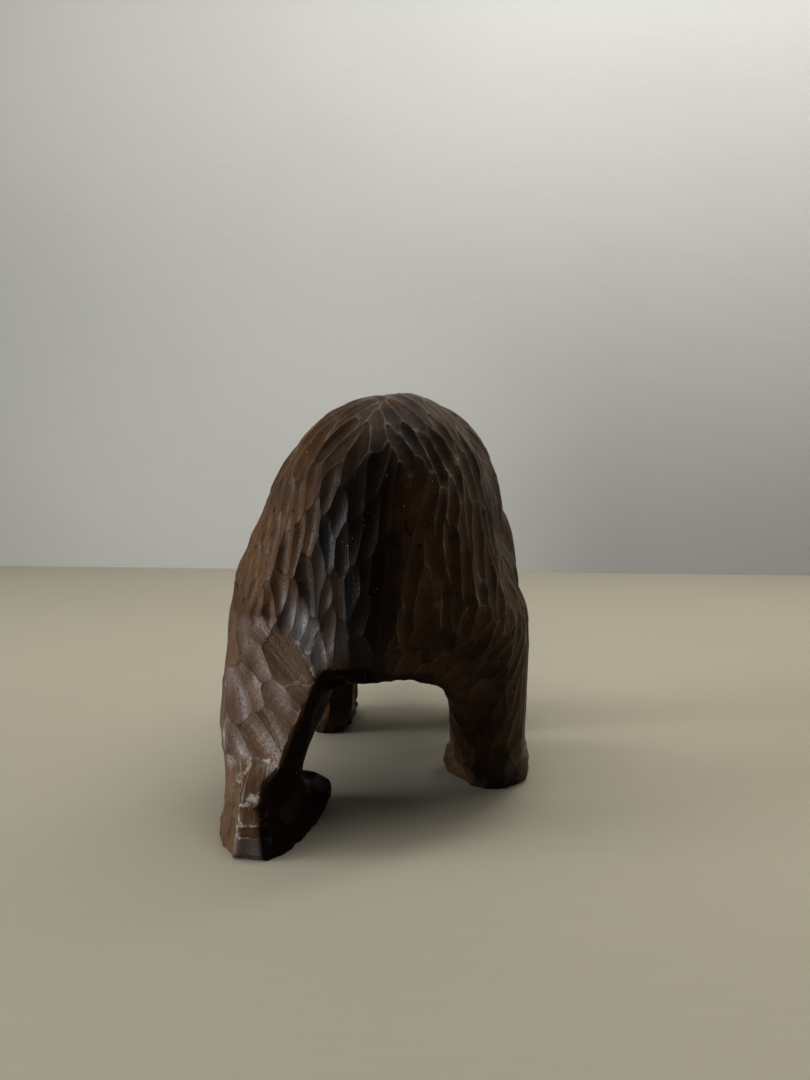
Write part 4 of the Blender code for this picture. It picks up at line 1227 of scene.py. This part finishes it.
def stained_walnut(wood):
    """Dark stained walnut: patchy stain, pores, tool lines, rubbed ridges, worn leg and a little dust, with
    painted shade, light, sheen and highlights.
    """
    nodes = Nodes("stained_walnut")
    plus, minus, times, ramp = nodes.plus, nodes.minus, nodes.times, nodes.ramp
    stroke = nodes.layer("stroke", "Vector")
    tone = nodes.layer("cut_tone")
    gap = nodes.layer("ridge_gap")
    at_end = nodes.layer("cut_end")
    rub = nodes.layer("handled")
    # Painted light on the left flank.
    light = nodes.layer("painted_window_light")
    # Painted shade, nearly black.
    dark = nodes.layer("painted_black_shade")
    # Painted shade, dark red.
    red = nodes.layer("red_painted_shade")
    grey = nodes.layer("greyed")

    patches = nodes.noise(nodes.place, 34.0, 4.0)
    wander = nodes.noise(nodes.place, 210.0, 4.0, 0.65)
    crumbled = nodes.noise(nodes.place, 420.0, 4.0, 0.7)
    flecks = nodes.noise(nodes.place, 1500.0, 1.0, 0.4)
    clusters = nodes.noise(nodes.place, 120.0, 2.0)
    pores = nodes.streaky(nodes.place, (1500.0, 260.0, 1500.0), 2.0, 0.6)
    tool_lines = nodes.streaky(stroke, (1.9, 0.10, 1.0), 3.0, 0.6)
    streaks = nodes.streaky(stroke, (0.75, 0.07, 1.0), 4.0, 0.7)
    scratches = nodes.streaky(stroke, (2.6, 0.10, 1.0), 2.0, 0.5)

    let_through = plus(times(tone, 0.45), ramp(patches, 0.34, 0.66, 0.0, 0.45))
    let_through = plus(let_through, ramp(wander, 0.35, 0.65, -0.14, 0.14))
    # Painted light: lighter, warmer brown where the left flank faces the window.
    window_lit = times(light, ramp(let_through, 0.1, 0.7, 0.60, 0.95))
    # Painted shade with a bluish painted reflection.
    bluish_shade = times(nodes.layer("painted_bluish_shade"), ramp(tone, 0.0, 0.9, 0.95, 0.45))
    # Lilac painted sheen, with real gloss.
    shine = times(nodes.layer("gloss_and_painted_sheen"), ramp(tone, 0.0, 0.8, 1.0, 0.35))
    rubbing = times(rub, ramp(streaks, 0.32, 0.62, 0.42, 0.78), ramp(light, 0.4, 1.0, 1.0, 0.25))
    scuffed = times(ramp(scratches, 0.57, 0.68), ramp(patches, 0.40, 0.60, 0.15, 0.60), rubbing)
    # Painted shade: dark lines in the creases beside the ridges near a cut's end.
    painted_crease_shade = times(ramp(gap, 0.0, 0.15, 1.0, 0.0), ramp(at_end, 0.0, 1.0, 0.38, 0.80))
    painted_crease_shade = times(painted_crease_shade, ramp(rub, 0.0, 1.0, 1.0, 0.90))
    # Pale ridges: stain rubbed thin, and partly a painted highlight.
    thin = plus(ramp(gap, 0.0, 0.11, 0.70, 0.0), ramp(gap, 0.0, 0.50, 0.18, 0.0))
    thin = times(thin, ramp(wander, 0.36, 0.56, 0.50, 1.0), nodes.layer("worn_and_lit_ridge"))
    thin = times(thin, ramp(at_end, 0.0, 1.0, 1.0, 0.45))
    frayed = plus(gap, ramp(crumbled, 0.30, 0.70, 0.24, -0.16))
    bare = times(nodes.layer("chalked"), ramp(frayed, 0.0, 0.24, 1.0, 0.0))
    bare = times(bare, ramp(wander, 0.42, 0.58, 0.0, 0.9))
    specks = times(ramp(pores, 0.56, 0.70, 0.0, 0.40), ramp(rub, 0.0, 1.0, 1.0, 0.35))
    dusty = plus(flecks, ramp(clusters, 0.45, 0.75, -0.06, 0.05), times(dark, 0.02))
    dusty = ramp(dusty, 0.77, 0.79)

    skin = nodes.mixed(let_through, paint(wood.stain), paint(wood.brown))
    coats = [
        # Painted light.
        (window_lit, wood.window_lit_brown),
        # Painted shade, bluish.
        (bluish_shade, wood.bluish_shade),
        # Painted sheen.
        (shine, wood.lilac_sheen),
        # Painted shade, nearly black.
        (times(dark, 0.88), wood.black),
        (ramp(tool_lines, 0.40, 0.62, 0.25, 0.0), wood.stain),
        (rubbing, wood.rubbed),
        (scuffed, wood.chalky),
        (times(grey, 0.9), wood.iron),
        # Painted shade in the creases.
        (painted_crease_shade, wood.crease_shade),
        # Pale ridges, partly a painted highlight.
        (thin, wood.ridge),
        (bare, wood.chalky),
        (specks, wood.stain),
        # Painted shade, dark red.
        (times(red, 0.94), wood.russet_shade),
        (dusty, wood.dust),
    ]
    for cover, tint in coats:
        skin = nodes.mixed(cover, skin, paint(tint))
    nodes.link(skin, "Base Color")

    worn = (times(rubbing, 0.10), times(bare, 0.15), times(dusty, 0.4))
    gloss = ramp(patches, 0.35, 0.65, wood.roughness + 0.05, wood.roughness - 0.05)
    nodes.link(plus(gloss, ramp(streaks, 0.35, 0.65, -0.04, 0.05), *worn), "Roughness")

    glaze = plus(times(shine, 0.30), times(rub, 0.17), times(grey, 0.20))
    glaze = plus(minus(glaze, times(red, 0.30), times(light, 0.05)), times(bluish_shade, 0.06), COMMON_GLAZE)
    nodes.shader.inputs["Specular IOR Level"].default_value = 0.12
    nodes.link(nodes.maths("MAXIMUM", (glaze, 0.02)), "Specular IOR Level")

    height = plus(times(tool_lines, 0.9), times(wander, 0.5))
    height = plus(minus(height, ramp(pores, 0.54, 0.72, 0.0, 0.5)), dusty)
    nodes.bump(height, wood.bump, 0.8)
    return nodes.material


def flat_paint(name, tint, roughness, gloss, painted_light_and_shadow=0.0):
    """Paint with a trace of the brush. Its painted light and shadow make it paler higher up and darker low on
    the right.
    """
    nodes = Nodes(name)
    times, ramp = nodes.times, nodes.ramp
    brushed = nodes.streaky(nodes.place, (25.0, 700.0, 700.0), 3.0, 0.6)
    cloudy = nodes.noise(nodes.place, 3.0, 2.0)
    shade = nodes.plus(ramp(brushed, 0.3, 0.7, -0.012, 0.012), ramp(cloudy, 0.3, 0.7, 0.98, 1.02))
    spot = nodes.add("SeparateXYZ", {"Vector": nodes.place}).outputs
    # Painted light higher up the wall and a painted shadow low on its right.
    higher = ramp(spot["Y"], -1.25, -1.0, 1.0, 1.0 + 0.16 * painted_light_and_shadow)
    low = ramp(spot["Y"], -1.50, -1.15, 1.0, 0.0)
    right = ramp(spot["X"], -0.18, 0.08, 0.34 * painted_light_and_shadow, 0.0)
    shade = times(shade, higher, nodes.minus(1.0, times(low, right)))
    nodes.link(nodes.mixed(1.0, paint(tint), shade, "MULTIPLY"), "Base Color")
    nodes.shader.inputs["Roughness"].default_value = roughness
    nodes.shader.inputs["Specular IOR Level"].default_value = gloss
    nodes.bump(brushed, 0.0001, 0.25)
    return nodes.material


# The stage

def panel(name, width, depth, place, tilt, material):
    """A flat sheet of the stage."""
    shape = bmesh.new()
    size = Matrix.Diagonal((width / 2, depth / 2, 1.0, 1.0))
    bmesh.ops.create_grid(shape, x_segments=1, y_segments=1, size=1.0, matrix=size)
    made = helper(name, shape)
    made.location = place
    made.rotation_euler = (tilt, 0.0, 0.0)
    made.data.materials.append(material)


def placed(name, data, place, ahead=(0.0, 0.0, -1.0)):
    """An object made of the data at its place, that faces the way ahead."""
    made = bpy.data.objects.new(name, data)
    made.location = place
    made.rotation_euler = Vector(ahead).to_track_quat("-Z", "Y").to_euler()
    bpy.context.scene.collection.objects.link(made)
    return made


def soft_light(name, place, target, size, power, tint, spread=180):
    """A soft rectangular light that faces its target and spreads over so many degrees."""
    data = bpy.data.lights.new(name, "AREA")
    data.shape = "RECTANGLE"
    data.size, data.size_y = size
    data.energy = power
    data.color = tint
    data.spread = math.radians(spread)
    placed(name, data, place, Vector(target) - Vector(place)).visible_camera = False


def even_light(name, power, spread):
    """A faint light from straight above that reaches all of the floor."""
    data = bpy.data.lights.new(name, "SUN")
    data.energy = power
    data.angle = math.radians(spread)
    placed(name, data, (0.0, 0.0, 2.0))


def surrounding_light(strength, haze):
    """Dim grey light from all round, and the pale haze that shows where there is no wall."""
    world = bpy.data.worlds.new("room")
    world.use_nodes = True
    tree = world.node_tree
    back = tree.nodes["Background"]
    back.inputs["Color"].default_value = (0.90, 0.93, 1.0, 1.0)
    back.inputs["Strength"].default_value = strength
    shown = add_node(tree, "Background", {"Color": paint(haze), "Strength": 1.0}).outputs[0]
    seen = add_node(tree, "LightPath").outputs["Is Camera Ray"]
    either = add_node(tree, "MixShader", {0: seen, 1: back.outputs[0], 2: shown}).outputs[0]
    tree.links.new(either, tree.nodes["World Output"].inputs["Surface"])
    bpy.context.scene.world = world


def photo_camera(stage):
    """The camera behind the bear, a little to its right, looking slightly down."""
    data = bpy.data.cameras.new("camera")
    data.sensor_width = 36.0
    data.lens = stage.camera_lens
    data.clip_start = 0.01
    level = Vector((math.sin(stage.camera_turn), -math.cos(stage.camera_turn), 0.0))
    ahead = level * math.cos(stage.camera_tilt) - Vector((0, 0, math.sin(stage.camera_tilt)))
    bpy.context.scene.camera = placed("camera", data, stage.camera_place, ahead)


class CARVING_OT_bear(bpy.types.Operator):
    """Carve the bear, stain it, paint its light and shade, and put it in place of the plain solid"""

    bl_idname = "carving.bear"
    bl_label = "Carve Bear"

    def execute(self, context):
        scene = context.scene
        skin, cuts = carved_skin(scene.carving_block, scene.carving_gouge)
        bear = bear_object(skin, cuts)
        bear.data.materials.append(stained_walnut(scene.carving_wood))
        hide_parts("bear")
        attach(bear, "root")
        return {"FINISHED"}


class CARVING_OT_stage(bpy.types.Operator):
    """Set the floor, the wall, the light and the camera"""

    bl_idname = "carving.stage"
    bl_label = "Set Stage"

    def execute(self, context):
        stage = context.scene.carving_stage
        floor_paint = flat_paint("shelf_paint", stage.floor, roughness=0.75, gloss=0.10)
        # The wall's paint holds painted light higher up and a painted shadow low on the right.
        wall_with_painted_light = flat_paint("wall_paint_and_painted_light", stage.wall, roughness=0.75, gloss=0.5, painted_light_and_shadow=1.0)
        panel("floor", 4.0, 4.0, (0, 0, 0), 0.0, floor_paint)
        panel("wall", 4.0, 3.0, (0, stage.wall_y, 1.5), math.radians(90), wall_with_painted_light)
        bear = (0, 0.03, 0.06)
        wall = (-0.35, -0.50, 0.40)
        below = (0.05, 0.05, 0.0)
        lights = [
            ("window", (1.30, 0.35, 0.25), bear, (0.45, 0.46), stage.window_power, (0.90, 0.95, 1.0), 80),
            ("backdrop", (-0.45, -0.36, 0.85), wall, (1.4, 0.1), stage.wall_power, (1.0, 0.99, 0.97)),
            ("rim", (-0.70, -0.15, 0.30), bear, (0.4, 0.5), stage.rim_power, (1.0, 0.97, 0.92)),
            ("ceiling", (0.05, 0.05, 1.0), below, (1.4, 0.6), stage.top_power, (1.0, 0.98, 0.95)),
        ]
        for light in lights:
            soft_light(*light)
        even_light("sky", stage.sky_power, 100)
        surrounding_light(stage.ambient, stage.haze)
        context.scene.view_settings.view_transform = "Standard"
        context.scene.view_settings.look = "Medium High Contrast"
        photo_camera(stage)
        return {"FINISHED"}


class CARVING_PT_panel(bpy.types.Panel):
    """Sizes, colours and buttons of the carving"""

    bl_idname = "CARVING_PT_panel"
    bl_label = "Carved Bear"
    bl_space_type = "VIEW_3D"
    bl_region_type = "UI"
    bl_category = "Carving"

    def draw(self, context):
        column = self.layout.column()
        for owner in SETTINGS:
            group = getattr(context.scene, owner)
            for name in group.bl_rna.properties.keys():
                if name not in ("rna_type", "name"):
                    column.prop(group, name)
        for operator in OPERATORS:
            column.operator(operator.bl_idname)


SETTINGS = {
    "carving_block": BlockSettings,
    "carving_gouge": GougeSettings,
    "carving_wood": WoodSettings,
    "carving_stage": StageSettings,
}
OPERATORS = (CARVING_OT_bear, CARVING_OT_stage)
CLASSES = (*SETTINGS.values(), *OPERATORS, CARVING_PT_panel)


def register():
    """Registers the classes and gives the scene its settings."""
    for item in CLASSES:
        bpy.utils.register_class(item)
    for name, group in SETTINGS.items():
        setattr(bpy.types.Scene, name, PointerProperty(type=group))


def unregister():
    """Takes the settings and the classes away again."""
    for name in SETTINGS:
        delattr(bpy.types.Scene, name)
    for item in reversed(CLASSES):
        bpy.utils.unregister_class(item)


def main():
    """Makes the bear and its stage."""
    register()
    bpy.ops.carving.bear()
    bpy.ops.carving.stage()


if __name__ == "__main__":
    main()
